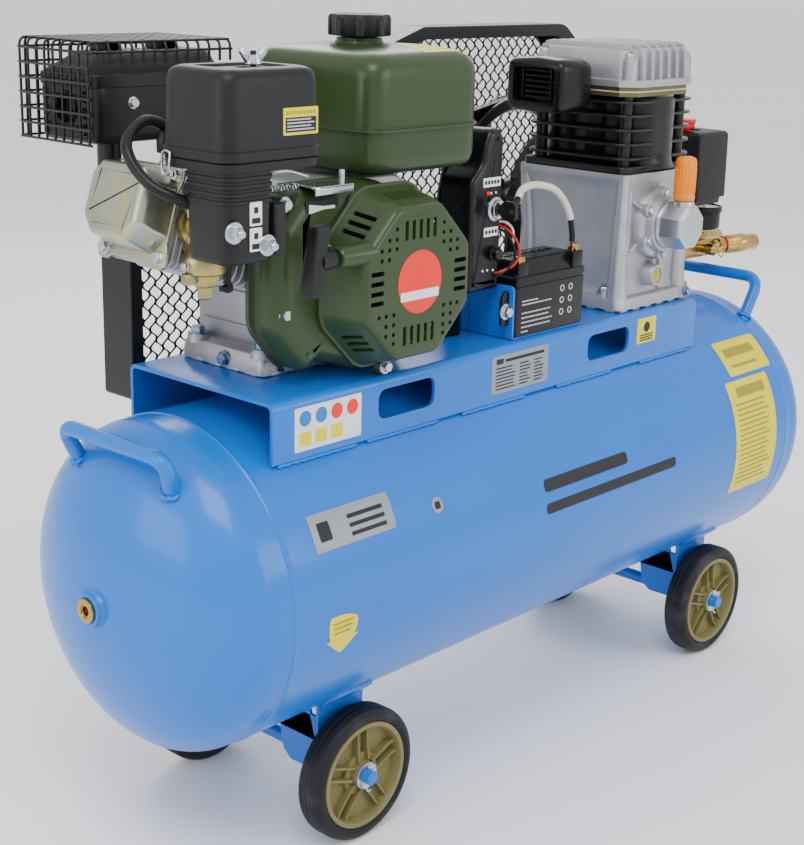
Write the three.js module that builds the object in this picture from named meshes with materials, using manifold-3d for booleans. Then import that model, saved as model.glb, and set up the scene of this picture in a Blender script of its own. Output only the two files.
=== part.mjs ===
// Engine-driven piston air compressor on a wheeled horizontal receiver.
// Millimetres, +Z up. X runs along the receiver, -Y is the side with the recoil starter.
// The origin is on the floor, under the middle of the receiver.
import * as THREE from 'three';
import { mergeVertices } from 'three/addons/utils/BufferGeometryUtils.js';
import Module from 'manifold-3d';

const wasm = await Module();
wasm.setup();

// ---------------------------------------------------------------- driving dimensions
const GAP = 0.3; // clearance between touching pieces

const TANK = { r: 175, half: 569, dish: 88, wall: 3, z: 299 };
const PLATFORM = { x0: -432, x1: 312, half: 110, top: 503, bottom: 440, sheet: 4, fold: 8 };
const SLOTS = [[-284, -197], [78, 163]]; // lightening slots in both platform flanges
const SLOT_Z = [458, 490];

const WHEEL = { r: 75, outer: 141, inner: 107, rimR: 60, hubR: 16, boreR: 8.6, sides: 20 };
const WHEEL_X = { left: -323, right: 364 };
const AXLE_R = 8;
const BRACKET_Y = 98;

const CRANK_Z = 608;
const ENGINE_X = -269;
const PUMP_X = 232;
const DECK = PLATFORM.top + GAP; // surface that the machinery stands on
const CYLINDER_TILT = THREE.MathUtils.degToRad(18); // engine cylinder above the horizontal
const CYLINDER_Y = -4; // middle of the engine cylinder

const BELT_Y = 141;
const PULLEY_R = 48;
const FLYWHEEL_R = 138;
const GROOVE = { depth: 11, top: 15, bottom: 12.4 };
const BELT = { width: 11.6, inner: 10.2, outer: 0.8 };

// ---------------------------------------------------------------- materials
const paint = (color, roughness = 0.35, metalness = 0.1) =>
  new THREE.MeshStandardMaterial({ color, roughness, metalness });
const MAT = {
  blue: () => paint(0x3f90e0, 0.3),
  green: () => paint(0x35512f, 0.3),
  tankGreen: () => paint(0x52634b, 0.35),
  black: () => paint(0x18191c, 0.45),
  plastic: () => paint(0x2c2c31, 0.6, 0),
  rubber: () => paint(0x141416, 0.85, 0),
  khaki: () => paint(0x78704e, 0.6, 0),
  aluminium: () => paint(0x9a9fa5, 0.45, 0.8),
  iron: () => paint(0x1c1c1d, 0.55, 0.4),
  steel: () => paint(0xaab0b4, 0.3, 0.9),
  zinc: () => paint(0xa8a890, 0.35, 0.8),
  brass: () => paint(0xa08a4c, 0.35, 0.9),
  orange: () => paint(0xf0a532, 0.5, 0),
  red: () => paint(0xe6321e, 0.45, 0),
  white: () => paint(0xe6e2d8, 0.7, 0),
};

// ---------------------------------------------------------------- solids
function solidOf(geometry) {
  const bare = geometry.clone();
  bare.deleteAttribute('normal');
  bare.deleteAttribute('uv');
  const merged = mergeVertices(bare, 1e-4);
  const index = Array.from(merged.index.array);
  const triangles = [];
  for (let i = 0; i < index.length; i += 3) {
    const [a, b, c] = index.slice(i, i + 3);
    if (a !== b && b !== c && c !== a) triangles.push(a, b, c);
  }
  const position = merged.attributes.position;
  const corner = (i) => new THREE.Vector3().fromBufferAttribute(position, i);
  let volume = 0;
  for (let i = 0; i < triangles.length; i += 3) {
    const [a, b, c] = [0, 1, 2].map((k) => corner(triangles[i + k]));
    volume += a.dot(b.cross(c));
  }
  if (volume < 0) triangles.reverse();
  return new wasm.Manifold(new wasm.Mesh({
    numProp: 3,
    vertProperties: Float32Array.from(position.array),
    triVerts: Uint32Array.from(triangles),
  }));
}

const join = (first, ...rest) => rest.reduce((sum, next) => sum.add(next), first);
const cut = (first, ...rest) => rest.reduce((left, next) => left.subtract(next), first);

const group = new THREE.Group();

function piece(name, solid, material) {
  const mesh = solid.getMesh();
  const geometry = new THREE.BufferGeometry();
  geometry.setAttribute('position', new THREE.BufferAttribute(new Float32Array(mesh.vertProperties), 3));
  geometry.setIndex(new THREE.BufferAttribute(new Uint32Array(mesh.triVerts), 1));
  geometry.computeVertexNormals();
  const node = new THREE.Mesh(geometry, material);
  node.name = name;
  group.add(node);
}

// Frames that stand a shape drawn in (s, t) and extruded along d on each axis:
// x: s = Y, t = Z.   y: s = X, t = Z, extruded towards -Y.   z: s = X, t = Y.
const STAND = {
  x: new THREE.Matrix4().makeBasis(new THREE.Vector3(0, 1, 0), new THREE.Vector3(0, 0, 1),
    new THREE.Vector3(1, 0, 0)),
  y: new THREE.Matrix4().makeBasis(new THREE.Vector3(1, 0, 0), new THREE.Vector3(0, 0, 1),
    new THREE.Vector3(0, -1, 0)),
  z: new THREE.Matrix4(),
};
const UNIT = { x: [1, 0, 0], y: [0, 1, 0], z: [0, 0, 1] };

const outline = (points) => new THREE.Shape(points.map(([s, t]) => new THREE.Vector2(s, t)));

function prism(axis, shape, from, to, curveSegments = 4) {
  const drawn = Array.isArray(shape) ? outline(shape) : shape;
  const geometry = new THREE.ExtrudeGeometry(drawn,
    { depth: to - from, bevelEnabled: false, curveSegments });
  geometry.applyMatrix4(STAND[axis]);
  const start = axis === 'y' ? to : from;
  const [x, y, z] = UNIT[axis];
  geometry.translate(x * start, y * start, z * start);
  return solidOf(geometry);
}

function box(x0, x1, y0, y1, z0, z1) {
  const geometry = new THREE.BoxGeometry(x1 - x0, y1 - y0, z1 - z0);
  return solidOf(geometry.translate((x0 + x1) / 2, (y0 + y1) / 2, (z0 + z1) / 2));
}

// Turned piece: profile of [radius, distance along the axis], from a point on the axis.
function turned(axis, profile, centre, sides = 24) {
  const geometry = new THREE.LatheGeometry(profile.map(([r, a]) => new THREE.Vector2(r, a)), sides);
  if (axis === 'x') geometry.rotateZ(-Math.PI / 2);
  if (axis === 'z') geometry.rotateX(Math.PI / 2);
  return solidOf(geometry.translate(...centre));
}

const rod = (axis, r, from, to, centre, sides = 24) =>
  turned(axis, [[0, from], [r, from], [r, to], [0, to]], centre, sides);

// Stack of sections with equal numbers of points, closed by flat ends.
function loft(sections) {
  const count = sections[0].length;
  const vertices = sections.flat();
  const index = [];
  for (let row = 0; row < sections.length - 1; row += 1) {
    for (let i = 0; i < count; i += 1) {
      const [a, b] = [row * count + i, row * count + ((i + 1) % count)];
      index.push(a, b, b + count, a, b + count, a + count);
    }
  }
  const last = (sections.length - 1) * count;
  for (let i = 1; i < count - 1; i += 1) {
    index.push(0, i + 1, i, last, last + i, last + i + 1);
  }
  const geometry = new THREE.BufferGeometry();
  geometry.setAttribute('position', new THREE.Float32BufferAttribute(vertices.flat(), 3));
  geometry.setIndex(index);
  return solidOf(geometry);
}

function roundRect(s0, s1, t0, t1, r) {
  const shape = new THREE.Shape();
  shape.moveTo(s0 + r, t0);
  shape.lineTo(s1 - r, t0);
  shape.absarc(s1 - r, t0 + r, r, -Math.PI / 2, 0);
  shape.lineTo(s1, t1 - r);
  shape.absarc(s1 - r, t1 - r, r, 0, Math.PI / 2);
  shape.lineTo(s0 + r, t1);
  shape.absarc(s0 + r, t1 - r, r, Math.PI / 2, Math.PI);
  shape.lineTo(s0, t0 + r);
  shape.absarc(s0 + r, t0 + r, r, Math.PI, 1.5 * Math.PI);
  return shape;
}

// Points of a rounded rectangle, with `steps` spans on each corner.
function roundRectPoints(s0, s1, t0, t1, r, steps = 3) {
  const corners = [[s1 - r, t0 + r, -90], [s1 - r, t1 - r, 0], [s0 + r, t1 - r, 90], [s0 + r, t0 + r, 180]];
  return corners.flatMap(([s, t, start]) => Array.from({ length: steps + 1 }, (_, i) => {
    const angle = THREE.MathUtils.degToRad(start + (90 * i) / steps);
    return [s + r * Math.cos(angle), t + r * Math.sin(angle)];
  }));
}

const circlePoints = (s, t, r, count, phase = 0) => Array.from({ length: count }, (_, i) => {
  const angle = phase + (2 * Math.PI * i) / count;
  return [s + r * Math.cos(angle), t + r * Math.sin(angle)];
});

// Round bar or tube of one radius along a route with rounded corners.
function bar(points, r, steps, sides = 10) {
  const route = new THREE.CatmullRomCurve3(points.map((p) => new THREE.Vector3(...p)), false,
    'centripetal');
  const section = outline(circlePoints(0, 0, r, sides));
  return solidOf(new THREE.ExtrudeGeometry(section, { steps, extrudePath: route, bevelEnabled: false }));
}

// Points of a route whose sharp corners are replaced by arcs.
function rounded(points, radius) {
  const out = [points[0]];
  for (let i = 1; i < points.length - 1; i += 1) {
    const [before, at, after] = points.slice(i - 1, i + 2).map((p) => new THREE.Vector3(...p));
    const back = before.clone().sub(at).normalize();
    const ahead = after.clone().sub(at).normalize();
    const start = at.clone().addScaledVector(back, radius);
    const end = at.clone().addScaledVector(ahead, radius);
    const arc = new THREE.QuadraticBezierCurve3(start, at, end);
    out.push(...arc.getPoints(4).map((p) => p.toArray()));
  }
  return [...out, points[points.length - 1]];
}

// ---------------------------------------------------------------- receiver
const tankShape = (inset, steps) => {
  const r = TANK.r - inset;
  const dish = TANK.dish - inset;
  const seam = TANK.half - TANK.dish;
  const dome = Array.from({ length: steps + 1 }, (_, i) => {
    const angle = (Math.PI / 2) * (i / steps);
    return [r * Math.sin(angle), seam + dish * Math.cos(angle)];
  });
  return [...dome.map(([a, b]) => [a, -b]), ...dome.reverse()];
};

const TANK_STEPS = 5; // spans along each dished end
const TANK_SIDES = 32;
const tankSkin = () => turned('x', tankShape(-GAP, TANK_STEPS), [0, 0, TANK.z], TANK_SIDES);

const PORT = { r: 17, bore: 10.8, reach: 7 };
const RISER_X = 432;
const DISCHARGE_X = 372;

function makeTank() {
  const shell = turned('x', tankShape(0, TANK_STEPS), [0, 0, TANK.z], TANK_SIDES);
  const hollow = turned('x', tankShape(TANK.wall, 3), [0, 0, TANK.z], 24);
  const top = TANK.z + TANK.r;
  const bosses = [
    rod('x', PORT.r, -TANK.half - PORT.reach, -TANK.half + 12, [0, 0, TANK.z], 12),
    rod('z', PORT.r, top - 6, top + PORT.reach, [RISER_X, 0, 0], 16),
    rod('z', PORT.r, top - 6, top + PORT.reach, [DISCHARGE_X, 0, 0], 16),
    rod('z', PORT.r, TANK.z - TANK.r - PORT.reach, TANK.z - TANK.r + 6, [0, 0, 0], 16),
  ];
  const ports = [
    rod('x', PORT.bore, -TANK.half - 20, -TANK.half + 30, [0, 0, TANK.z], 12),
    rod('z', PORT.bore, top - 20, top + 20, [RISER_X, 0, 0], 12),
    rod('z', PORT.bore, top - 20, top + 20, [DISCHARGE_X, 0, 0], 12),
    rod('z', PORT.bore, TANK.z - TANK.r - 20, TANK.z - TANK.r + 20, [0, 0, 0], 12),
  ];
  piece('tank', cut(join(shell, ...bosses), hollow, ...ports), MAT.blue());

  const plugR = PORT.bore - 2 * GAP;
  const plug = turned('x', [
    [0, -12], [plugR, -12], [plugR, 7 + GAP], [13, 7 + GAP], [13, 13], [0, 13],
  ].map(([r, a]) => [r, -a]), [-TANK.half, 0, TANK.z], 16);
  const key = prism('x', circlePoints(0, TANK.z, 5.5, 6), -TANK.half - 20, -TANK.half - 4);
  piece('tank_plug', cut(plug, key), MAT.brass());

  const drainTop = TANK.z - TANK.r - PORT.reach;
  const valve = turned('z', [
    [0, 12], [plugR, 12], [plugR, -GAP], [11, -GAP], [11, -10], [6, -14], [6, -22], [0, -22],
  ], [0, 0, drainTop], 12);
  piece('drain_valve', join(valve, box(-14, 14, -2, 2, drainTop - 26, drainTop - 12)), MAT.brass());
}

function makePlatform() {
  const { x0, x1, half, top, bottom, sheet, fold } = PLATFORM;
  const arc = (r, s, t, from, to) => Array.from({ length: 4 }, (_, i) => {
    const angle = THREE.MathUtils.degToRad(from + ((to - from) * i) / 3);
    return [s + r * Math.cos(angle), t + r * Math.sin(angle)];
  });
  const [s, t] = [half - fold, top - fold];
  const channel = prism('x', [
    [half, bottom], ...arc(fold, s, t, 0, 90), ...arc(fold, -s, t, 90, 180), [-half, bottom],
    [-half + sheet, bottom], ...arc(fold - sheet, -s, t, 180, 90), ...arc(fold - sheet, s, t, 90, 0),
    [half - sheet, bottom],
  ], x0, x1);
  const [z0, z1] = SLOT_Z;
  const slots = SLOTS.map(([a, b]) => prism('y', roundRect(a, b, z0, z1, 12), -half - 5, half + 5, 3));
  piece('platform', cut(channel, ...slots), MAT.blue());
}

// Carrying handles: a bar across, turned down onto the receiver at both ends.
const HANDLE = { r: 8 };
const HANDLES = {
  left: { foot: [-528, 72, 430], bend: [-540, 82, 463] },
  right: { foot: [481, 82, 456], bend: [513, 84, 500] },
};

function makeHandles() {
  const hull = tankSkin();
  for (const [side, { foot, bend }] of Object.entries(HANDLES)) {
    const [fx, fy, fz] = foot;
    const [bx, by, bz] = bend;
    const sunk = [fx - 0.4 * (bx - fx), fz - 0.4 * (bz - fz)];
    const route = rounded([[sunk[0], -fy, sunk[1]], [bx, -by, bz], [bx, by, bz],
      [sunk[0], fy, sunk[1]]], 18);
    piece(`handle_${side}`, cut(bar(route, HANDLE.r, 22, 8), hull), MAT.blue());
  }
}

// ---------------------------------------------------------------- running gear
function makeAxles() {
  const skin = tankSkin();
  for (const [side, x] of Object.entries(WHEEL_X)) {
    const leg = [
      [x - 34, 175], [x - 34, 90], [x - 22, 62], [x - 10, 54], [x + 10, 54], [x + 22, 62], [x + 34, 90],
        [x + 34, 175],
    ];
    const legs = [-1, 1].map((hand) => {
      const y = hand * BRACKET_Y;
      return prism('y', leg, y - 2, y + 2);
    });
    const web = (hand) => prism('x', [
      [98, 78], [98, 112], [82, 150], [34, 150], [46, 84], [58, 76],
    ].map(([y, z]) => [hand * y, z]), x - 34, x - 30);
    const spreader = box(x - 34, x - 30, -96, 96, 112, 140);
    const bored = rod('y', AXLE_R + GAP, -120, 120, [x, 0, WHEEL.r], 16);
    const bracket = cut(join(...legs, web(1), web(-1), spreader), skin, bored);
    piece(`axle_bracket_${side}`, bracket, MAT.blue());

    const end = WHEEL.outer + 10;
    const shaft = rod('y', AXLE_R, -end, end, [x, 0, WHEEL.r], 16);
    const washers = [-1, 1].map((hand) => rod('y', 15, -1, 1, [x, hand * (WHEEL.outer - 2), WHEEL.r], 16));
    piece(`axle_${side}`, join(shaft, ...washers), MAT.blue());

    for (const [hand, place] of [[-1, 'front'], [1, 'back']]) makeWheel(`${side}_${place}`, x, hand);
  }
}

function makeWheel(name, x, hand) {
  const middle = (WHEEL.outer + WHEEL.inner) / 2;
  const half = (WHEEL.outer - WHEEL.inner) / 2;
  const centre = [x, hand * middle, WHEEL.r];
  const out = (a) => hand * a;
  const tyre = [
    [WHEEL.rimR, half - 1], [69, half], [WHEEL.r, half - 8],
    [WHEEL.r, 8 - half], [69, -half], [WHEEL.rimR, 1 - half], [WHEEL.rimR, half - 1],
  ].map(([r, a]) => [r, out(a)]);
  piece(`tyre_${name}`, turned('y', tyre, centre, WHEEL.sides), MAT.rubber());

  const rimOuter = WHEEL.rimR - GAP;
  const rim = [
    [WHEEL.boreR, half - 4.5], [WHEEL.hubR, half - 4.5], [WHEEL.hubR, 2], [rimOuter - 5, 2],
      [rimOuter - 4, half],
    [rimOuter, half], [rimOuter, -half], [WHEEL.boreR, 2 - half], [WHEEL.boreR, half - 4.5],
  ].map(([r, a]) => [r, out(a)]);
  const ribs = Array.from({ length: 5 }, (_, i) => {
    const rib = new THREE.BoxGeometry(rimOuter - WHEEL.hubR, 12,
      5).translate((rimOuter + WHEEL.hubR - 3) / 2, hand * 6, 0);
    return solidOf(rib.rotateY((2 * Math.PI * i) / 5).translate(...centre));
  });
  piece(`rim_${name}`, join(turned('y', rim, centre, WHEEL.sides), ...ribs), MAT.khaki());
}

// ---------------------------------------------------------------- engine
const BLOCK = { x0: -350, x1: -186, y0: -50, y1: 96, z0: 521, z1: 700 };
const FOOT = { x0: -375, x1: -165, y0: -30, y1: 95, z1: 521 };
const SHAFT_R = 9.5;
const SPARK_X = -470; // spark plug on top of the cylinder head
const BORE_R = 10;

// Places a solid drawn with its own +X along the engine's cylinder and origin on the crank axis.
function alongCylinder(solid) {
  return solid.rotate(0, THREE.MathUtils.radToDeg(CYLINDER_TILT) + 180, 0)
    .translate(ENGINE_X, CYLINDER_Y, CRANK_Z);
}
// In that drawing +X runs away from the crank and -Z is up.
const finStack = (x0, x1, pitch, half, thickness, tall) => {
  const count = Math.floor((x1 - x0) / pitch);
  return Array.from({ length: count }, (_, i) => {
    const x = x0 + (i + 0.5) * pitch;
    return box(x, x + thickness, -half, half, -tall, tall);
  });
};

function makeEngineBlock() {
  const { x0, x1, y0, y1, z0, z1 } = BLOCK;
  const body = prism('y', roundRect(x0, x1, z0 - 4, z1, 22), y0, y1, 3);
  const feet = box(FOOT.x0, FOOT.x1, FOOT.y0, FOOT.y1, DECK, FOOT.z1);
  const pilot = rod('y', 34, y1 - 1, y1 + 8, [ENGINE_X, 0, CRANK_Z], 24);
  const cylinder = alongCylinder(join(rod('x', 38, 60, 182, [0, 0, 0], 20),
    ...finStack(90, 176, 21, 46, 3, 50)));
  const bore = rod('y', BORE_R, y0 - 10, y1 + 20, [ENGINE_X, 0, CRANK_Z], 20);
  piece('engine_block', cut(join(body, feet, pilot, cylinder), bore), MAT.aluminium());

  const head = join(
    alongCylinder(box(182 + GAP, 206, -46, 46, -50, 50)),
    alongCylinder(box(206, 240, -42, 42, -44, 44)),
    ...finStack(208, 240, 12, 46, 3, 48).map(alongCylinder),
    rod('z', 7, 705, 738, [SPARK_X, CYLINDER_Y, 0], 8),
  );
  piece('cylinder_head', head, MAT.aluminium());

  const inset = (s, half) => [
    [s, -half + 16, -42 + 8], [s, half - 16, -42 + 8], [s, half - 4, -22], [s, half - 4, 26],
    [s, half - 14, 40], [s, -half + 14, 40], [s, -half + 4, 26], [s, -half + 4, -22],
  ];
  const flange = alongCylinder(box(240 + GAP, 246, -48, 48, -46, 46));
  const dome = alongCylinder(loft([inset(245, 50), inset(272, 48), inset(280, 40)]));
  piece('rocker_cover', join(flange, dome), MAT.zinc());

  const shaft = rod('y', SHAFT_R, -108, BELT_Y + 12, [ENGINE_X, 0, CRANK_Z], 20);
  piece('engine_crankshaft', shaft, MAT.steel());
}

// Blower housing over the cooling fan, open towards the block.
const SHROUD = { r: 102, y0: -96, y1: -52, top: 702, left: -412, wall: 2.5, mouth: 80 };

const RECOIL = { x: -402, y: -136, z: 642 };

function shroudOutline(inset) {
  const r = SHROUD.r - inset;
  const top = SHROUD.top - inset;
  const right = circlePoints(ENGINE_X, CRANK_Z, r, 24).filter(([x, z]) => z < top - 1 && x > ENGINE_X - 20);
  const sorted = right.sort(([ax, az], [bx, bz]) => Math.atan2(az - CRANK_Z, ax - ENGINE_X)
    - Math.atan2(bz - CRANK_Z, bx - ENGINE_X));
  return [...sorted, [ENGINE_X + 30, top], [SHROUD.left + 40 + inset, top], [SHROUD.left + inset, top - 22],
    [SHROUD.left + inset, 560 + inset], [ENGINE_X - 96 + inset, 512 + inset]];
}

function makeBlower() {
  const { y0, y1, wall, mouth } = SHROUD;
  const skin = prism('y', shroudOutline(0), y0, y1);
  const hollow = prism('y', shroudOutline(wall), y0 + wall, y1 + 5);
  const eye = rod('y', mouth, y0 - 5, y0 + 10, [ENGINE_X, 0, CRANK_Z], 20);
  piece('fan_shroud', cut(skin, hollow, eye), MAT.green());

  const front = -149;
  const section = (r, y) => circlePoints(0, 0, r, 16, Math.PI / 16)
    .map(([a, c]) => [ENGINE_X + a, y, CRANK_Z + c]);
  const octagon = (r, y) => circlePoints(0, 0, 1, 16, Math.PI / 16).map(([a, c]) => {
    const side = Math.PI / 4;
    const turn = Math.atan2(c, a);
    const off = turn - side * Math.round(turn / side);
    const reach = r / Math.cos(off);
    return [ENGINE_X + a * reach, y, CRANK_Z + c * reach];
  });
  const back = SHROUD.y0 - GAP;
  const cover = loft([octagon(68, front), octagon(76, front + 7), section(92, -110), section(97, back)]);
  const inside = loft([octagon(66, front + 3), octagon(73, front + 9), section(89, -110),
    section(94, back + 1)]);
  const vents = [];
  for (let row = -1; row <= 1; row += 1) {
    for (const side of [-1, 1]) {
      const [a, c] = [ENGINE_X + row * 16, CRANK_Z + side * 50];
      vents.push(box(a - 3, a + 3, front - 5, front + 12, c - 12, c + 12));
      const [b, d] = [ENGINE_X + side * 50, CRANK_Z + row * 16];
      vents.push(box(b - 12, b + 12, front - 5, front + 12, d - 3, d + 3));
    }
  }
  const guide = rod('x', 10, -372, -330, [0, RECOIL.y, RECOIL.z], 12);
  const guideBore = rod('x', 4.2, -400, -250, [0, RECOIL.y, RECOIL.z], 10);
  const lug = cut(guide, inside);
  piece('recoil_cover', cut(join(cut(cover, inside, ...vents), lug), guideBore), MAT.green());

  const disc = turned('y', [[BORE_R, -68], [90, -68], [90, -58], [BORE_R, -56], [BORE_R, -68]],
    [ENGINE_X, 0, CRANK_Z], 20);
  const blades = Array.from({ length: 12 }, (_, i) => {
    const blade = new THREE.BoxGeometry(3, 22, 34).translate(0, -78, 66);
    blade.rotateY((2 * Math.PI * i) / 12).translate(ENGINE_X, 0, CRANK_Z);
    return solidOf(blade);
  });
  const cup = turned('y', [[30, -100], [33, -100], [33, -66], [30, -66], [30, -100]],
    [ENGINE_X, 0, CRANK_Z], 20);
  piece('cooling_fan', join(disc, cup, ...blades), MAT.iron());
}


function makeRecoilHandle() {
  const { x, y, z } = RECOIL;
  const rows = [[-34, 7, 6], [-30, 9, 8], [0, 7.5, 7], [28, 9.5, 8], [34, 7, 6]];
  const grip = loft(rows.map(([dz, a, b]) => circlePoints(0, 0, 1, 12)
    .map(([s, t]) => [x + s * a + dz * 0.18, y + t * b, z + dz])));
  const neck = turned('x', [[3.2, 0], [6, 0], [5, 18], [3.2, 18], [3.2, 0]], [x + 5, y, z], 12);
  piece('recoil_handle', cut(join(grip, neck), rod('x', 3.2, 2, 60, [x, y, z], 10)), MAT.plastic());
  const rope = join(rod('x', 2.8, 3, 118, [x, y, z], 8), rod('x', 2.8, 118, 119, [x, y, z], 8));
  piece('recoil_rope', rope, MAT.black());
}

// ---------------------------------------------------------------- engine dressing
const FUEL = { x0: -290, x1: -116, y0: -100, y1: 92, z0: 705, z1: 822, seam: 751, r: 26 };
const CAP = { x: -208, y: 0, r: 33, z0: 838, z1: 861 };

function makeFuelTank() {
  const { x0, x1, y0, y1, z0, z1, seam, r } = FUEL;
  const ring = (inset, z, radius = r) => roundRectPoints(x0 + inset, x1 - inset, y0 + inset, y1 - inset,
    radius, 2)
    .map(([x, y]) => [x, y, z]);
  const shell = (t) => loft([
    ring(16 + t, z0 + t), ring(4 + t, z0 + 10 + t), ring(3 + t, seam), ring(3 + t, z1 - 14),
    ring(8 + t, z1 - 4 - t), ring(24 + t, z1 + 6 - t), ring(60 + t, z1 + 12 - t, 12),
  ]);
  const flange = prism('z', roundRect(x0, x1, y0, y1, r + 2), seam - 1.5, seam + 1.5, 3);
  const neckTop = CAP.z0 - 2;
  const neck = rod('z', 24, z1 + 4, neckTop, [CAP.x, CAP.y, 0], 20);
  const mouth = rod('z', 21, z1 - 10, neckTop + 5, [CAP.x, CAP.y, 0], 20);
  const body = cut(join(shell(0), flange, neck), shell(1.5), mouth);
  piece('fuel_tank', body, MAT.tankGreen());

  const lobes = Array.from({ length: 8 }, (_, i) => {
    const angle = (2 * Math.PI * i) / 8;
    return rod('z', 4, CAP.z0 + 2, CAP.z1 - 3,
      [CAP.x + 30 * Math.cos(angle), CAP.y + 30 * Math.sin(angle), 0], 8);
  });
  const lid = turned('z', [
    [0, CAP.z1], [28, CAP.z1], [31, CAP.z1 - 3], [31, CAP.z0], [24 + GAP, CAP.z0],
    [24 + GAP, neckTop + GAP], [0, neckTop + GAP],
  ], [CAP.x, CAP.y, 0], 16);
  piece('fuel_cap', join(lid, ...lobes), MAT.plastic());
}

const AIR = { x0: -525, x1: -404, y0: -152, y1: -56, z0: 743, z1: 823, lowX1: -458, lowY1: -100,
  lowZ: 652 };
const CARB = { x: -478, z: 674, r: 17, y0: -82, y1: -50.5 };

function makeAirCleaner() {
  const { x0, x1, y0, y1, z0, z1, lowX1, lowY1, lowZ } = AIR;
  const ring = (inset, z, right = x1, back = y1) => roundRectPoints(x0 + inset, right - inset,
    y0 + inset, back - inset, 14)
    .map(([x, y]) => [x, y, z]);
  const cover = loft([ring(0, z0 + GAP), ring(0, z1 - 10), ring(5, z1 - 2), ring(10, z1)]);
  const inner = loft([ring(3, z0 - 5), ring(3, z1 - 12), ring(12, z1 - 4)]);
  const stud = [(x0 + x1) / 2 + 14, (y0 + y1) / 2];
  const hole = rod('z', 5, z1 - 20, z1 + 5, [...stud, 0], 12);
  piece('air_cleaner_cover', cut(cover, inner, hole), MAT.plastic());

  const base = loft([ring(2, z0 - 9), ring(2, z0)]);
  const lower = loft([
    ring(3, lowZ, lowX1, lowY1 + 12), ring(3, z0 - 8.9, lowX1, lowY1 + 12),
  ]);
  const intake = box(x0 + 14, lowX1 - 12, y0 + 14, lowY1, lowZ - 5, z0 - 14);
  const post = rod('z', 3, z0 - 5, z1 + 12, [...stud, 0], 8);
  const spout = rod('y', CARB.r, lowY1 + 8, CARB.y0 - GAP, [CARB.x, 0, CARB.z], 12);
  piece('air_cleaner_body', join(cut(join(base, lower), intake), post, spout), MAT.plastic());

  const hub = turned('z', [[3.3, 0], [8, 0], [6.5, 8], [3.3, 8], [3.3, 0]], [...stud, z1 + GAP], 12);
  const wings = [-1, 1].map((side) => prism('y', [
    [side * 5, 0.5], [side * 9, 1.5], [side * 17, 12], [side * 15, 16], [side * 10, 13], [side * 5, 6],
  ].map(([s, t]) => [stud[0] + s, z1 + t]), stud[1] - 1.3, stud[1] + 1.3));
  piece('wing_nut', join(hub, ...wings), MAT.steel());

  const chamber = box(CARB.x - 12, CARB.x + 22, CARB.y1 - 10, CARB.y1, CARB.z - 26, CARB.z + 24);
  const middle = (CARB.y0 + CARB.y1) / 2;
  const bowl = rod('z', 15, 606, CARB.z - 12, [CARB.x + 0.4, middle - 0.3, 0], 10);
  const throat = rod('y', CARB.r, CARB.y0, CARB.y1 - 8, [CARB.x, 0, CARB.z], 12);
  const airway = rod('y', 11, CARB.y0 - 5, CARB.y1 + 5, [CARB.x, 0, CARB.z], 10);
  piece('carburettor', cut(join(chamber, bowl, throat), airway), MAT.zinc());

  const [pivotX, pivotY] = [CARB.x + 28, middle];
  const lever = prism('z', roundRect(pivotX - 4, pivotX + 30, pivotY - 4, pivotY + 4, 3.5), 664, 667, 2);
  const pin = rod('z', 3, 655, 672, [pivotX, pivotY, 0], 8);
  piece('choke_lever', join(lever, pin), MAT.plastic());
}

function makeThrottle() {
  const plate = box(-372, -318, -104, -70, 703, 705.5);
  const arm = box(-336, -331, -103, -99, 705, 720);
  piece('throttle_lever', join(plate, arm), MAT.steel());
  const tap = prism('x', roundRect(-70, -62, 608, 636, 3.5), -452, -448, 2);
  const pivot = rod('x', 3, -458, -446, [0, -66, 613], 8);
  piece('fuel_tap_lever', join(tap, pivot), MAT.black());
}

const MUFFLER = { x0: -510, x1: -345, y0: 55, y1: 143, z0: 739, shoulder: 805, z1: 824, slope: 24 };
const CAGE = { x0: -516, x1: -340, y0: 50, y1: 170, z0: 738, z1: 836, wire: 1.5 };
const EXHAUST_PORT = { x: -472, z: 674 };
const TAIL = { y: 98, z: 771, outer: 17, inner: 15 };

function mufflerCan() {
  const { x0, x1, y0, y1, z0, shoulder, z1, slope } = MUFFLER;
  const outline = [
    [y0, z0 + 8], [y0 + 8, z0], [y1 - 8, z0], [y1, z0 + 8],
    [y1, shoulder], [y1 - slope, z1], [y0 + slope, z1], [y0, shoulder],
  ];
  const wedge = [[x0 - 1, shoulder], [x0, shoulder], [x0 + slope + 6, z1], [x0 + slope + 6, z1 + 1],
    [x0 - 1, z1 + 1]];
  const cavity = prism('x', roundRect(y0 + 2, y1 - 2, z0 + 2, shoulder - 2, 12), x0 + 2, x1 - 2, 3);
  const tail = rod('x', TAIL.outer, x0 - 2, x0 + 4, [0, TAIL.y, TAIL.z], 20);
  const bore = rod('x', TAIL.inner, x0 - 20, x0 + 8, [0, TAIL.y, TAIL.z], 20);
  const can = cut(prism('x', outline, x0, x1), prism('y', wedge, y0 - 1, y1 + 1));
  return { solid: can, hollow: cut(join(can, tail), cavity, bore) };
}

function makeMuffler() {
  const { z0 } = MUFFLER;
  const { x, z } = EXHAUST_PORT;
  const { solid, hollow } = mufflerCan();
  const headBack = CYLINDER_Y + 46 + GAP;
  const flange = box(x - 16, x + 22, headBack, headBack + 6, z - 22, z + 22);
  const route = rounded([[x, headBack + 2, z], [x, 80, z], [x, 82, z0 + 8]], 16);
  const pipe = cut(join(bar(route, 11, 10, 8), flange), solid);
  const collar = box(x - 11, x + 11, 72, 92, z0, z0 + 3);
  piece('muffler', join(hollow, pipe, collar), MAT.black());
}

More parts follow.
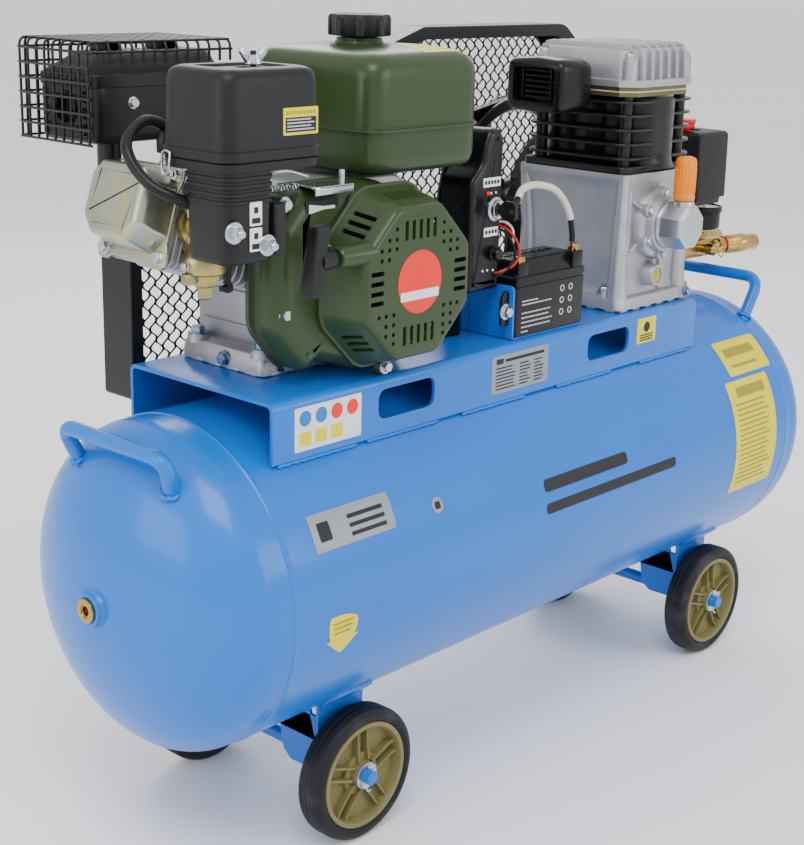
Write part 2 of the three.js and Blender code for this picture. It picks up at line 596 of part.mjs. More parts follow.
function makeCage() {
  const { x0, x1, y0, y1, z0, z1, wire } = CAGE;
  const bars = [];
  const along = (y, z) => bars.push(box(x0, x1, y - wire, y + wire, z - wire, z + wire));
  const across = (x, z) => bars.push(box(x - wire, x + wire, y0, y1, z - wire, z + wire));
  const upright = (x, y) => bars.push(box(x - wire, x + wire, y - wire, y + wire, z0, z1));
  const spread = (a, b, count) => Array.from({ length: count }, (_, i) => a + ((b - a) * i) / (count - 1));
  for (const z of spread(z0 + wire, z1 - wire, 3)) {
    along(y1 - wire, z);
    across(x0 + wire, z);
  }
  for (const x of spread(x0 + wire, x1 - wire, 6)) upright(x, y1 - wire);
  for (const x of spread(x0 + wire, x1 - wire, 6).slice(1)) across(x, z1 - wire);
  for (const y of spread(y0 + wire, y1 - wire, 3).slice(0, 2)) {
    along(y, z1 - wire);
    upright(x0 + wire, y);
  }
  bars.push(box(-420, -400, MUFFLER.y1 + GAP, y1 - wire, 784, 787));
  piece('muffler_cage', join(...bars), MAT.black());
}

const HOSE = [
  [SPARK_X, CYLINDER_Y, 739], [SPARK_X, CYLINDER_Y, 750], [-480, -6, 762], [-502, -12, 768],
    [-524, -20, 760], [-538, -31, 749],
  [-541, -45, 733], [-538, -64, 718], [-526, -80, 708], [-508, -85, 702],
];

function makeHose() {
  piece('breather_hose', bar(HOSE, 5.5, 18, 6), MAT.rubber());
}

// ---------------------------------------------------------------- electrics
const PANEL = { x0: -113, x1: -56.5, y0: -80, y1: -36, z0: 561, z1: 741 };
const KEY = { x: -72, z: 653 };

function makePanel() {
  const { x0, x1, y0, y1, z0, z1 } = PANEL;
  const face = [[x0, z0], [x1, z0], [x1, z1 - 44], [x1 - 8, z1 - 12], [x1 - 18, z1], [x0 + 6, z1],
    [x0, z1 - 40]];
  const shell = prism('y', face, y0, y1);
  const inner = prism('y', face.map(([x, z]) => [x + (x < (x0 + x1) / 2 ? 2.5 : -2.5),
    z + (z < 600 ? 2.5 : -2.5)]), y0 + 2.5, y1 + 5);
  const keyway = rod('y', 5, y0 - 5, y0 + 10, [KEY.x, 0, KEY.z], 12);
  const arm = box(x0 + 12, x0 + 40, y1 - 2, y1 + 2, z0 - 57.5, z0 + 40);
  const foot = box(x0 + 12, x0 + 40, y1 - 2, y1 + 20, DECK, DECK + 3);
  const lock = turned('y', [[5, 0], [14, 0], [14, 8], [5, 8], [5, 0]], [KEY.x, y0 - 8, KEY.z], 16);
  piece('control_panel', join(cut(join(shell, lock), inner, keyway), arm, foot), MAT.plastic());
  const barrel = rod('y', 4.6, y0 - 10, y0 + 8, [KEY.x, 0, KEY.z], 12);
  const bow = prism('x', roundRect(y0 - 32, y0 - 9, KEY.z - 11, KEY.z + 11, 5), KEY.x - 1.5,
    KEY.x + 1.5, 2);
  piece('ignition_key', join(barrel, bow), MAT.plastic());
}

const BATTERY = { x0: -50, x1: 77, y0: -100, y1: -35, z1: 592 };

function makeBattery() {
  const { x0, x1, y0, y1, z1 } = BATTERY;
  const base = DECK + 2.5;
  const tray = join(
    box(x0 - 3 - GAP, x1 + 3, y0 + 2, y1 + 22, DECK, base - GAP),
    box(x0 - 3 - GAP, x0 - GAP, y0 + 2, y1 + 22, DECK, DECK + 62),
    box(x0 - 3 - GAP, x1 + 3, y1 + GAP, y1 + 3, DECK, DECK + 40),
  );
  piece('battery_tray', tray, MAT.blue());
  const body = box(x0, x1, y0, y1, base, z1 - 22);
  const crown = loft([
    roundRectPoints(x0 + 2, x1 - 2, y0 + 2, y1 - 2, 3).map(([x, y]) => [x, y, z1 - 22.1]),
    roundRectPoints(x0 + 3, x1 - 3, y0 + 3, y1 - 3, 3).map(([x, y]) => [x, y, z1]),
  ]);
  const post = box(x1 - 20, x1 - 8, y0 + 5, y0 + 17, z1 - 1, z1 + 10);
  piece('battery', join(body, crown, post), MAT.black());

  const route = [[-55, -93, 644], [-49, -93, 660], [-30, -86, 672], [4, -80, 673], [34, -84, 664],
    [54, -88, 640], [62, -89, 614], [63, -89, 602 + GAP]];
  piece('battery_cable', bar(route, 4, 18, 6), MAT.white());
}

// ---------------------------------------------------------------- pump
const PUMP = { x0: 154, x1: 311, y0: -98, y1: 72, top: 672 };

function makePump() {
  const { x0, x1, y0, y1, top } = PUMP;
  const foot = box(x0, x1, y0, y1, DECK, DECK + 17);
  const ring = (dx, dy, z) => roundRectPoints(x0 + dx, x1 - dx, y0 + dy, y1 - dy,
    10).map(([x, y]) => [x, y, z]);
  const caseBody = loft([ring(12, 10, DECK + 16.9), ring(8, 8, top - 40), ring(2, 2, top - 10),
    ring(2, 2, top)]);
  const bearing = rod('y', 40, y1 - 12, y1 + 18, [PUMP_X, 0, CRANK_Z], 16);
  const nose = rod('y', 34, y0 - 12, y0 + 14, [PUMP_X, 0, CRANK_Z], 16);
  const chamber = rod('y', 46, y0 + 16, y1 - 18, [PUMP_X, 0, CRANK_Z], 14);
  const bore = rod('y', 12.5, y0 - 2, y1 + 30, [PUMP_X, 0, CRANK_Z], 16);
  const cylinderWell = rod('z', 30, CRANK_Z, top + 5, [PUMP_X, -13, 0], 12);
  const glass = rod('y', 12, y0 - 4, y0 + 20, [PUMP_X - 4, 0, 543], 14);
  const body = join(foot, caseBody, bearing, nose, glass);
  piece('pump_crankcase', cut(body, chamber, bore, cylinderWell), MAT.aluminium());

  const middle = -13;
  const deck = (inset, z0, z1) => prism('z',
    roundRect(x0 + inset, x1 - inset, y0 + inset + 2, y1 - inset - 2, 16), z0, z1, 2);
  const barrel = deck(14, top + GAP, 765);
  const fins = [690, 715, 740].map((z) => deck(0, z, z + 3.5));
  const well = rod('z', 30, top - 5, 790, [PUMP_X, middle, 0], 12);
  const plate = deck(6, 764.9, 775);
  piece('pump_cylinder', cut(join(barrel, ...fins, plate), well), MAT.iron());

  const hx0 = x0;
  const hx1 = 288;
  const hy1 = 62;
  const chamfer = 18;
  const headShape = [
    [hx0, y0], [hx1 - chamfer, y0], [hx1, y0 + chamfer], [hx1, hy1 - chamfer], [hx1 - chamfer, hy1],
      [hx0, hy1],
  ];
  const headBody = prism('z', headShape, 775 + GAP, 812);
  const headFins = Array.from({ length: 5 }, (_, i) => {
    const x = hx0 + 30 + i * 22;
    return box(x, x + 5, y0 + 6, hy1 - 6, 811.9, 825);
  });
  const sideFins = Array.from({ length: 5 },
    (_, i) => box(hx1 - 1, hx1 + 12, y0 + 24 + i * 22, y0 + 27 + i * 22, 779, 812));
  const port = rod('x', 10, hx0 - 10, hx0 + 1, [0, -8, 793], 14);
  const outlet = rod('x', 11, hx1 - 1, hx1 + 14, [0, 44, 793], 14);
  const recess = box(hx0 + 20, hx1 - 20, y0 + 20, hy1 - 20, 775, 795);
  const head = join(headBody, ...headFins, ...sideFins, port, outlet);
  piece('pump_head', cut(head, recess, rod('x', 6, hx1 - 30, hx1 + 30, [0, 44, 793], 12),
    rod('x', 6, hx0 - 30, hx0 + 30, [0, -8, 793], 12)), MAT.aluminium());

  const filterFace = (inset) => roundRectPoints(-50 + inset, 35 - inset, 745 + inset, 808 - inset,
    12).map(([y, z]) => [y, z]);
  const filter = loft([
    filterFace(3).map(([y, z]) => [80, y, z]), filterFace(0).map(([y, z]) => [85, y, z]),
      filterFace(0).map(([y, z]) => [143.5, y, z]),
  ]);
  const mouth = box(70, 92, -40, 25, 755, 798);
  const intake = rod('x', 6, 85, 150, [0, -8, 793], 12);
  piece('pump_intake_filter', cut(filter, mouth, intake), MAT.plastic());

  const crank = join(
    rod('y', 12, y0, BELT_Y + 17, [PUMP_X, 0, CRANK_Z], 20),
    rod('y', 36, -44, -32, [PUMP_X, 0, CRANK_Z], 20),
    rod('y', 36, 6, 18, [PUMP_X, 0, CRANK_Z], 20),
  );
  piece('pump_crankshaft', crank, MAT.steel());

  const capFace = circlePoints(PUMP_X, CRANK_Z, 29, 8, Math.PI / 8);
  const cap = prism('y', capFace, -146, y0 - 12 - GAP);
  const elbow = turned('z', [[0, 608], [13, 608], [13, 640], [0, 640]], [PUMP_X, -130, 0], 16);
  piece('bearing_cap', join(cap, elbow), MAT.aluminium());
  piece('oil_breather', turned('z',
    [[0, 640 + GAP], [11.5, 640 + GAP], [12, 646], [12, 690], [10.5, 693], [0, 693]], [PUMP_X, -130, 0],
    20), MAT.orange());
}

// Grooved wheel rim shared by the two pulleys.
const grooved = (r, half) => [
  [r, half], [r, GROOVE.top / 2], [r - GROOVE.depth, GROOVE.bottom / 2],
  [r - GROOVE.depth, -GROOVE.bottom / 2], [r, -GROOVE.top / 2], [r, -half],
];

function makeDrive() {
  const pulleyBore = SHAFT_R + GAP;
  const pulley = [[pulleyBore, 11], ...grooved(PULLEY_R, 11), [pulleyBore, -11], [pulleyBore, 11]];
  piece('engine_pulley', turned('y', pulley, [ENGINE_X, BELT_Y, CRANK_Z], 20), MAT.iron());

  const wheelBore = 12 + GAP;
  const wheel = [
    [wheelBore, 16], [24, 16], [24, 4], [112, 4], [112, 12], ...grooved(FLYWHEEL_R, 12), [112, -12],
      [112, -4], [24, -4],
    [24, -14], [wheelBore, -14], [wheelBore, 16],
  ];
  const windows = Array.from({ length: 5 }, (_, i) => {
    const window = new THREE.CylinderGeometry(24, 24, 60, 6).translate(68, 0, 0);
    return solidOf(window.rotateY((2 * Math.PI * i) / 5).translate(PUMP_X, BELT_Y, CRANK_Z));
  });
  piece('pump_flywheel', cut(turned('y', wheel, [PUMP_X, BELT_Y, CRANK_Z], 24), ...windows), MAT.iron());

  const loop = (inset) => {
    const [small, large] = [PULLEY_R - inset, FLYWHEEL_R - inset];
    const span = PUMP_X - ENGINE_X;
    const lean = Math.asin((large - small) / span);
    const arc = (cx, r, from, to, count) => Array.from({ length: count + 1 }, (_, i) => {
      const angle = from + ((to - from) * i) / count;
      return [cx + r * Math.cos(angle), CRANK_Z + r * Math.sin(angle)];
    });
    const tangent = Math.PI / 2 + lean;
    return [...arc(PUMP_X, large, -tangent, tangent, 24),
      ...arc(ENGINE_X, small, tangent, 2 * Math.PI - tangent, 12)];
  };
  const width = BELT.width / 2;
  const band = (inset, reach) => prism('y', loop(inset), BELT_Y - reach, BELT_Y + reach);
  piece('drive_belt', cut(band(BELT.outer, width), band(BELT.inner, width + 5)), MAT.rubber());
}

const GUARD = { y0: 113.5, y1: 163, wall: 2, rim: 30 };
const GUARD_OUTLINE = [
  [-426, 458], [388, 458], [388, 700], [360, 790], [298, 838], [20, 838], [-130, 790], [-330, 690],
    [-426, 690],
];

function insetOutline(points, inset) {
  const count = points.length;
  return points.map((at, i) => {
    const [before, after] = [points[(i + count - 1) % count], points[(i + 1) % count]];
    const edge = (p, q) => new THREE.Vector2(q[0] - p[0], q[1] - p[1]).normalize();
    const [a, b] = [edge(before, at), edge(at, after)];
    const push = inset / (1 + a.dot(b));
    return [at[0] - push * (a.y + b.y), at[1] + push * (a.x + b.x)];
  });
}

function makeGuard() {
  const { y0, y1, wall, rim } = GUARD;
  const outer = prism('y', GUARD_OUTLINE, y0, y1);
  const hollow = prism('y', insetOutline(GUARD_OUTLINE, wall), y0 + wall, y1 - wall);
  const recess = prism('y', insetOutline(GUARD_OUTLINE, rim), y1 - wall / 2, y1 + 5);
  const shell = cut(outer, hollow, recess);
  const clearance = prism('y', roundRect(-309, -229, 568, 648, 39), y0 - 5, y0 + 5, 3);
  const pumpHole = prism('y', roundRect(110, 354, 486, 720, 60), y0 - 5, y0 + 5, 3);
  const frontWindow = cut(prism('y', [
    [-120, 500], [80, 500], [80, 740], [110, 770], [330, 770], [300, 810], [30, 810], [-110, 766],
  ], y0 - 5, y0 + 5));
  const tabs = [-300, 40].map((x) => box(x - 15, x + 15, PLATFORM.half + GAP, GUARD.y0 + 1, 460, 480));
  piece('belt_guard', join(cut(shell, clearance, pumpHole, frontWindow), ...tabs), MAT.black());
}

// ---------------------------------------------------------------- air outlet
const SWITCH = { x0: 418, x1: 492, y0: -32, y1: 32, z0: 610, z1: 700 };

function makeOutlet() {
  const { x0, x1, y0, y1, z0, z1 } = SWITCH;
  const top = TANK.z + TANK.r;
  const base = box(x0 + 6, x1 - 6, y0 + 4, y1 - 4, z0 - 8, z0 + 0.1);
  const cover = prism('z', roundRect(x0, x1, y0, y1, 6), z0, z1, 3);
  const socket = rod('z', 12, z0 - 14, z0 - 7.9, [RISER_X + 8, 0, 0], 12);
  const stemHole = rod('z', 6, z1 - 20, z1 + 5, [x0 + 12, 0, 0], 12);
  piece('pressure_switch', cut(join(base, cover, socket), stemHole), MAT.black());
  piece('switch_knob', turned('z',
    [[0, z1 - 16], [5, z1 - 16], [5, z1 + 4], [11, z1 + 4], [12, z1 + 16], [0, z1 + 16]],
    [x0 + 12, 0, 0], 14), MAT.red());

  const riser = rod('z', PORT.bore - 2 * GAP, top - 8, 526, [RISER_X, 0, 0], 12);
  const riserNut = prism('z', circlePoints(RISER_X, 0, 16, 6), top + PORT.reach + GAP, top + 22);
  const block = box(RISER_X - 14, 506, -16, 16, 524, 550);
  const column = rod('z', 9, 546, z0 - 14 - GAP, [RISER_X + 8, 0, 0], 12);
  const gaugeStem = rod('z', 6, 546, 562 - GAP, [482, -4, 0], 10);
  const coupler = (y, tilt) => {
    const sleeve = new THREE.LatheGeometry([[0, 0], [9, 0], [9, 14], [13, 15], [13, 58], [11, 66],
      [11, 81.9], [0, 81.9]]
      .map(([r, a]) => new THREE.Vector2(r, a)), 14);
    return solidOf(sleeve.rotateZ(-Math.PI / 2).rotateZ(tilt).translate(500, y, 537));
  };
  const outlets = join(coupler(-12, -0.25), coupler(12, 0.25));
  piece('outlet_manifold', join(riser, riserNut, block, column, gaugeStem, outlets), MAT.brass());
  piece('pressure_gauge', turned('z', [
    [0, 562], [8, 562], [24, 566], [24, 588], [26, 588], [26, 595], [0, 595],
  ], [482, -4, 0], 20), MAT.black());

  const elbowZ = 793;
  const run = rounded([[300 + 4, 44, elbowZ], [345, 44, elbowZ], [372, 44, 760], [372, 10, 640],
    [DISCHARGE_X, 0, 520], [DISCHARGE_X, 0, 492]], 16);
  const pipe = bar(run, 7, 22, 6);
  const nut = rod('x', 14, 302 + GAP, 316, [0, 44, elbowZ], 6);
  const valve = join(rod('z', PORT.bore - 2 * GAP, top - 8, top + 12, [DISCHARGE_X, 0, 0], 12),
    prism('z', circlePoints(DISCHARGE_X, 0, 17, 6), top + PORT.reach + GAP, 500));
  piece('discharge_pipe', join(pipe, nut, valve), MAT.aluminium());
}

makeTank();
makePlatform();
makeHandles();
makeAxles();
makeEngineBlock();
makeBlower();
makeRecoilHandle();
makeFuelTank();
makeAirCleaner();
makeThrottle();
makeMuffler();
makeCage();
makeHose();
makePanel();
makeBattery();
makePump();
makeDrive();
makeGuard();
makeOutlet();

export default group;
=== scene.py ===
"""Looks of the engine-driven wheelbarrow air compressor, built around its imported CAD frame."""

import math
import random

import bmesh
import bpy
from mathutils import Matrix, Vector
from mathutils.bvhtree import BVHTree


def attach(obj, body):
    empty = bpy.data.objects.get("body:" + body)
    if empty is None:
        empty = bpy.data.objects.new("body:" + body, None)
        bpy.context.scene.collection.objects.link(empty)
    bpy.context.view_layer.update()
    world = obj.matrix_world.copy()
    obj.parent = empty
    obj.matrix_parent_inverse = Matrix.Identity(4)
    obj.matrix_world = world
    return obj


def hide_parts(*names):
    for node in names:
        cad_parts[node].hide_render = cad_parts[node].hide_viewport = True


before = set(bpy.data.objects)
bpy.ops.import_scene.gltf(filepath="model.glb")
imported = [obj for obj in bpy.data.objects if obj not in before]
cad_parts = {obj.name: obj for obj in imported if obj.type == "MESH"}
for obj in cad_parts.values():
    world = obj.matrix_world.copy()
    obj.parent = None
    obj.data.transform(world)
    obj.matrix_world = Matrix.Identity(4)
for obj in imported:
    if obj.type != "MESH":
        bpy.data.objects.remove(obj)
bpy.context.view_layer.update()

MM = 0.001  # the lengths in this script are millimetres; meshes are scaled once, when they are finished
NO_TURN = Matrix.Identity(4)
PARTS = []


def srgb(r, g, b):
    """Linear colour of an 8-bit sRGB colour."""
    lin = [c / 255 / 12.92 if c <= 10 else ((c / 255 + 0.055) / 1.055) ** 2.4 for c in (r, g, b)]
    return (*lin, 1.0)


def shift(x=0.0, y=0.0, z=0.0):
    return Matrix.Translation((x, y, z))


def turn(degrees, axis):
    return Matrix.Rotation(math.radians(degrees), 4, axis)


# Each matrix stands a profile drawn in local X and Y up, with local Z along the named direction.
ALONG = {
    "X": Matrix(((0, 0, 1, 0), (1, 0, 0, 0), (0, 1, 0, 0), (0, 0, 0, 1))),
    "-X": Matrix(((0, 0, -1, 0), (-1, 0, 0, 0), (0, 1, 0, 0), (0, 0, 0, 1))),
    "Y": turn(-90, "X"),
    "-Y": turn(90, "X"),
    "Z": NO_TURN,
    "-Z": turn(180, "X"),
}


def ring(r, cx=0.0, cy=0.0, n=48, start=0.0):
    step = 2 * math.pi / n
    return [(cx + r * math.cos(start + i * step), cy + r * math.sin(start + i * step)) for i in range(n)]


def rounded(points, radius, n=5):
    """Closed outline with each corner rounded; radius is one number or one for each corner."""
    out = []
    count = len(points)
    radii = radius if isinstance(radius, (list, tuple)) else [radius] * count
    for i, p in enumerate(points):
        p, a, b = Vector(p), Vector(points[i - 1]), Vector(points[(i + 1) % count])
        u, v = (a - p), (b - p)
        half = max(u.angle(v) / 2, 0.01)
        if radii[i] <= 0 or abs(half - math.pi / 2) < 0.01:
            out += [tuple(p)] * (1 if radii[i] <= 0 else n + 1)
            continue
        back = min(radii[i] / math.tan(half), u.length * 0.49, v.length * 0.49)
        start, end = p + u.normalized() * back, p + v.normalized() * back
        for k in range(n + 1):
            t = k / n
            out.append(tuple(start.lerp(p, t).lerp(p.lerp(end, t), t)))
    return out


def oblong(x0, x1, y0, y1, r, n=5):
    return rounded([(x0, y0), (x1, y0), (x1, y1), (x0, y1)], r, n)


def smooth_line(points, per=8, closed=False):
    """Catmull-Rom points through the given 3-D points."""
    pts = [Vector(p) for p in points]
    count = len(pts)
    out = []
    spans = count if closed else count - 1
    for i in range(spans):
        p1, p2 = pts[i], pts[(i + 1) % count]
        p0 = pts[i - 1] if closed or i else p1 * 2 - p2
        p3 = pts[(i + 2) % count] if closed or i < spans - 1 else p2 * 2 - p1
        for k in range(per):
            t = k / per
            out.append(0.5 * (2 * p1 + (p2 - p0) * t + (2 * p0 - 5 * p1 + 4 * p2 - p3) * t * t
                              + (3 * p1 - p0 - 3 * p2 + p3) * t ** 3))
    if not closed:
        out.append(pts[-1])
    return out


def bent_line(points, radius, n=6):
    """Polyline with round bends of the given radius."""
    pts = [Vector(p) for p in points]
    out = [pts[0]]
    for a, p, b in zip(pts, pts[1:], pts[2:]):
        u, v = a - p, b - p
        half = u.angle(v) / 2
        back = min(radius / math.tan(half), u.length * 0.49, v.length * 0.49)
        start, end = p + u.normalized() * back, p + v.normalized() * back
        out += [start.lerp(p, k / n).lerp(p.lerp(end, k / n), k / n) for k in range(n + 1)]
    return out + [pts[-1]]


class Part:
    """One visible piece: a mesh in millimetres that gathers simple solids."""

    def __init__(self, name, finish, body="frame", slot="", instead=(), smooth=32):
        self.name, self.finish, self.body, self.slot = name, finish, body, slot
        self.instead = [instead] if isinstance(instead, str) else list(instead)
        self.smooth = smooth
        self.bm = bmesh.new()
        PARTS.append(self)

    def add(self, verts, faces, matrix=NO_TURN):
        made = [self.bm.verts.new(matrix @ Vector(v)) for v in verts]
        for face in faces:
            corners = []
            for i in face:
                if made[i] not in corners:
                    corners.append(made[i])
            if len(corners) > 2:
                self.bm.faces.new(corners)
        return made

    def take(self, mesh, matrix=NO_TURN):
        mesh.transform(matrix)
        self.bm.from_mesh(mesh)
        bpy.data.meshes.remove(mesh)

    def grid(self, rows, matrix=NO_TURN, wrap=True, caps=True, close=False):
        """Skin over rows of points; wrap joins the ends of a row, close joins the last row to the first."""
        n = len(rows[0])
        verts = [p for row in rows for p in row]
        faces = []
        for i in range(len(rows) if close else len(rows) - 1):
            j = (i + 1) % len(rows)
            for k in range(n if wrap else n - 1):
                m = (k + 1) % n
                faces.append((i * n + k, i * n + m, j * n + m, j * n + k))
        if caps and wrap and not close:
            faces.append(tuple(reversed(range(n))))
            faces.append(tuple(range((len(rows) - 1) * n, len(rows) * n)))
        made = self.add(verts, faces, matrix)
        bmesh.ops.remove_doubles(self.bm, verts=made, dist=1e-4)
        return self

    def turned(self, profile, matrix=NO_TURN, n=48, close=False):
        """Solid of revolution of (radius, height) points round local Z."""
        rows = []
        for r, h in profile:
            rows.append([(r * math.cos(2 * math.pi * k / n), r * math.sin(2 * math.pi * k / n),
                          h) for k in range(n)])
        return self.grid(rows, matrix, caps=not close, close=close)

    def stack(self, levels, matrix=NO_TURN):
        """Solid through outlines at rising heights: [(height, outline), ...]."""
        return self.grid([[(x, y, h) for x, y in loop] for h, loop in levels], matrix)

    def plate(self, loops, low, high, matrix=NO_TURN, edge=0.0, steps=2):
        """Flat solid of an outline with holes, with rounded edges."""
        loops = [loops] if isinstance(loops[0][0], (int, float)) else loops
        curve = bpy.data.curves.new("shape", "CURVE")
        curve.dimensions, curve.fill_mode = "2D", "BOTH"
        curve.extrude = (high - low) / 2 - edge
        curve.bevel_depth, curve.bevel_resolution, curve.offset = edge, steps, -edge
        for loop in loops:
            spline = curve.splines.new("POLY")
            spline.points.add(len(loop) - 1)
            for point, (x, y) in zip(spline.points, loop):
                point.co = (x, y, 0, 1)
            spline.use_cyclic_u = True
        holder = bpy.data.objects.new("shape", curve)
        mesh = bpy.data.meshes.new_from_object(holder)
        bpy.data.objects.remove(holder)
        bpy.data.curves.remove(curve)
        tidy = bmesh.new()
        tidy.from_mesh(mesh)
        bmesh.ops.remove_doubles(tidy, verts=tidy.verts, dist=2e-3)
        tidy.to_mesh(mesh)
        tidy.free()
        self.take(mesh, matrix @ shift(z=(low + high) / 2))
        return self

    def xz(self, loops, y0, y1, edge=0.0, steps=2):
        return self.plate(loops, -y1, -y0, ALONG["-Y"], edge, steps)

    def yz(self, loops, x0, x1, edge=0.0, steps=2):
        return self.plate(loops, x0, x1, ALONG["X"], edge, steps)

    def box(self, x0, x1, y0, y1, z0, z1, edge=1.0, steps=2, matrix=NO_TURN):
        small = bmesh.new()
        bmesh.ops.create_cube(small, size=1)
        size = Matrix.Diagonal((x1 - x0, y1 - y0, z1 - z0, 1))
        bmesh.ops.transform(small, matrix=shift((x0 + x1) / 2, (y0 + y1) / 2, (z0 + z1) / 2) @ size,
                            verts=small.verts)
        if edge:
            bmesh.ops.bevel(small, geom=small.edges[:], offset=edge, segments=steps, profile=0.5,
                            affect="EDGES")
        mesh = bpy.data.meshes.new("box")
        small.to_mesh(mesh)
        small.free()
        self.take(mesh, matrix)
        return self

    def tube(self, points, r, n=12, closed=False, matrix=NO_TURN, section=None):
        """Round bar, or any section, along points; r may change along the way."""
        pts = [Vector(p) for p in points]
        count = len(pts)
        radii = r if isinstance(r, (list, tuple)) else [r] * count
        across, last = None, None
        rows = []
        for i, p in enumerate(pts):
            if closed:
                d = pts[(i + 1) % count] - pts[i - 1]
            else:
                d = pts[min(i + 1, count - 1)] - pts[max(i - 1, 0)]
            d.normalize()
            if across is None:
                side = Vector((0, 0, 1)) if abs(d.z) < 0.9 else Vector((0, 1, 0))
                across = d.cross(side).normalized()
            else:
                across = (last.rotation_difference(d) @ across)
                across = (across - d * across.dot(d)).normalized()
            last = d
            other = d.cross(across)
            shape = section or ring(1, n=n)
            rows.append([p + (across * x + other * y) * radii[i] for x, y in shape])
        return self.grid(rows, matrix, close=closed)

    def hex(self, at, axis, across, height, washer=0.0, thick=1.2, studs=0.0):
        """Hexagon head or nut with a washer, standing on the point along the axis."""
        base = shift(*at) @ (ALONG[axis] if isinstance(axis, str) else axis)
        h = 0.0
        if washer:
            self.turned([(0, 0), (washer, 0), (washer, thick * 0.7), (washer - 0.4, thick), (0, thick)],
                        base, 28)
            h = thick
        r = across / math.sqrt(3)
        flats = ring(r, n=6)
        crown = ring(r * 0.88, n=6)
        self.stack([(h, flats), (h + height * 0.82, flats), (h + height, crown)], base)
        if studs:
            thread = []
            z = h + height
            while z < h + height + studs:
                thread += [(across * 0.27, z), (across * 0.31, z + 0.5)]
                z += 1.0
            self.turned([(0, h), *thread, (0, z)], base, 16)
        return self

    def cut(self, *tools):
        """Takes other solids away from this one, exactly."""
        for tool in tools:
            PARTS.remove(tool)
            objects = []
            for part in (self, tool):
                bmesh.ops.recalc_face_normals(part.bm, faces=part.bm.faces)
                mesh = bpy.data.meshes.new("solid")
                part.bm.to_mesh(mesh)
                part.bm.free()
                holder = bpy.data.objects.new("solid", mesh)
                bpy.context.scene.collection.objects.link(holder)
                objects.append(holder)
            less = objects[0].modifiers.new("less", "BOOLEAN")
            less.operation, less.object, less.solver = "DIFFERENCE", objects[1], "EXACT"
            less.use_self = True
            shown = objects[0].evaluated_get(bpy.context.evaluated_depsgraph_get())
            self.bm = bmesh.new()
            self.bm.from_mesh(shown.to_mesh())
            for holder in objects:
                mesh = holder.data
                bpy.data.objects.remove(holder)
                bpy.data.meshes.remove(mesh)
        return self

    def done(self):
        bmesh.ops.recalc_face_normals(self.bm, faces=self.bm.faces)
        bmesh.ops.scale(self.bm, vec=(MM, MM, MM), verts=self.bm.verts)
        mesh = bpy.data.meshes.new(self.name)
        self.bm.to_mesh(mesh)
        self.bm.free()
        mesh.materials.clear()
        mesh.materials.append(self.finish)
        mesh.shade_smooth()
        mesh.set_sharp_from_angle(angle=math.radians(self.smooth))
        piece = bpy.data.objects.new(self.name, mesh)
        bpy.context.scene.collection.objects.link(piece)
        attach(piece, self.body)
        if self.instead:
            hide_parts(*self.instead)
        return piece


# ---------------------------------------------------------------- camera, floor and light

IMAGE_HEIGHT = 845
FOCAL = 1576.1  # in image heights of 845
SENSOR = 36.0
CAMERA_AT = (-1421.5, -1181.2, 920.1)
CAMERA_AZIMUTH, CAMERA_ELEVATION, CAMERA_ROLL = -47.62, 16.53, 1.43


def make_camera():
    a, e, roll = (math.radians(v) for v in (CAMERA_AZIMUTH, CAMERA_ELEVATION, CAMERA_ROLL))
    back = Vector((math.sin(a) * math.cos(e), -math.cos(a) * math.cos(e), math.sin(e)))
    right = (-back).cross(Vector((0, 0, 1))).normalized()
    up = right.cross(-back)
    right, up = (math.cos(roll) * right + math.sin(roll) * up,
                 -math.sin(roll) * right + math.cos(roll) * up)
    data = bpy.data.cameras.new("camera")
    data.sensor_width, data.lens = SENSOR, FOCAL * SENSOR / IMAGE_HEIGHT
    data.clip_start, data.clip_end = 0.05, 60
    camera = bpy.data.objects.new("camera", data)
    spin = Matrix((right, up, back)).transposed()
    camera.matrix_world = Matrix.Translation(Vector(CAMERA_AT) * MM) @ spin.to_4x4()
    bpy.context.scene.collection.objects.link(camera)
    bpy.context.scene.camera = camera


def make_area(name, at, aim, size, power, colour=(1, 1, 1)):
    data = bpy.data.lights.new(name, "AREA")
    data.shape, data.size, data.size_y = "RECTANGLE", size[0], size[1]
    data.energy, data.color = power, colour
    lamp = bpy.data.objects.new(name, data)
    lamp.location = at
    lamp.rotation_mode = "QUATERNION"
    lamp.rotation_quaternion = (Vector(aim) - Vector(at)).to_track_quat("-Z", "Y")
    bpy.context.scene.collection.objects.link(lamp)


def make_studio():
    world = bpy.data.worlds.new("studio")
    bpy.context.scene.world = world
    world.use_nodes = True
    back = world.node_tree.nodes["Background"]
    back.inputs["Color"].default_value = (1.0, 1.0, 1.0, 1)
    back.inputs["Strength"].default_value = WORLD_LIGHT
    for name, at, aim, size, power in LAMPS:
        make_area(name, at, aim, size, power)


WORLD_LIGHT = 1.15
LAMPS = (
    ("key", (-1.6, -1.2, 3.0), (0, 0, 0.4), (1.6, 1.6), 60),
    ("fill", (-3.2, 0.6, 1.2), (0, 0, 0.4), (1.6, 1.2), 22),
    ("front", (1.2, -3.2, 1.5), (0.1, 0, 0.4), (1.8, 1.2), 30),
    ("rim", (1.8, 2.2, 2.4), (0, 0, 0.5), (1.6, 1.2), 35),
)


# ---------------------------------------------------------------- materials


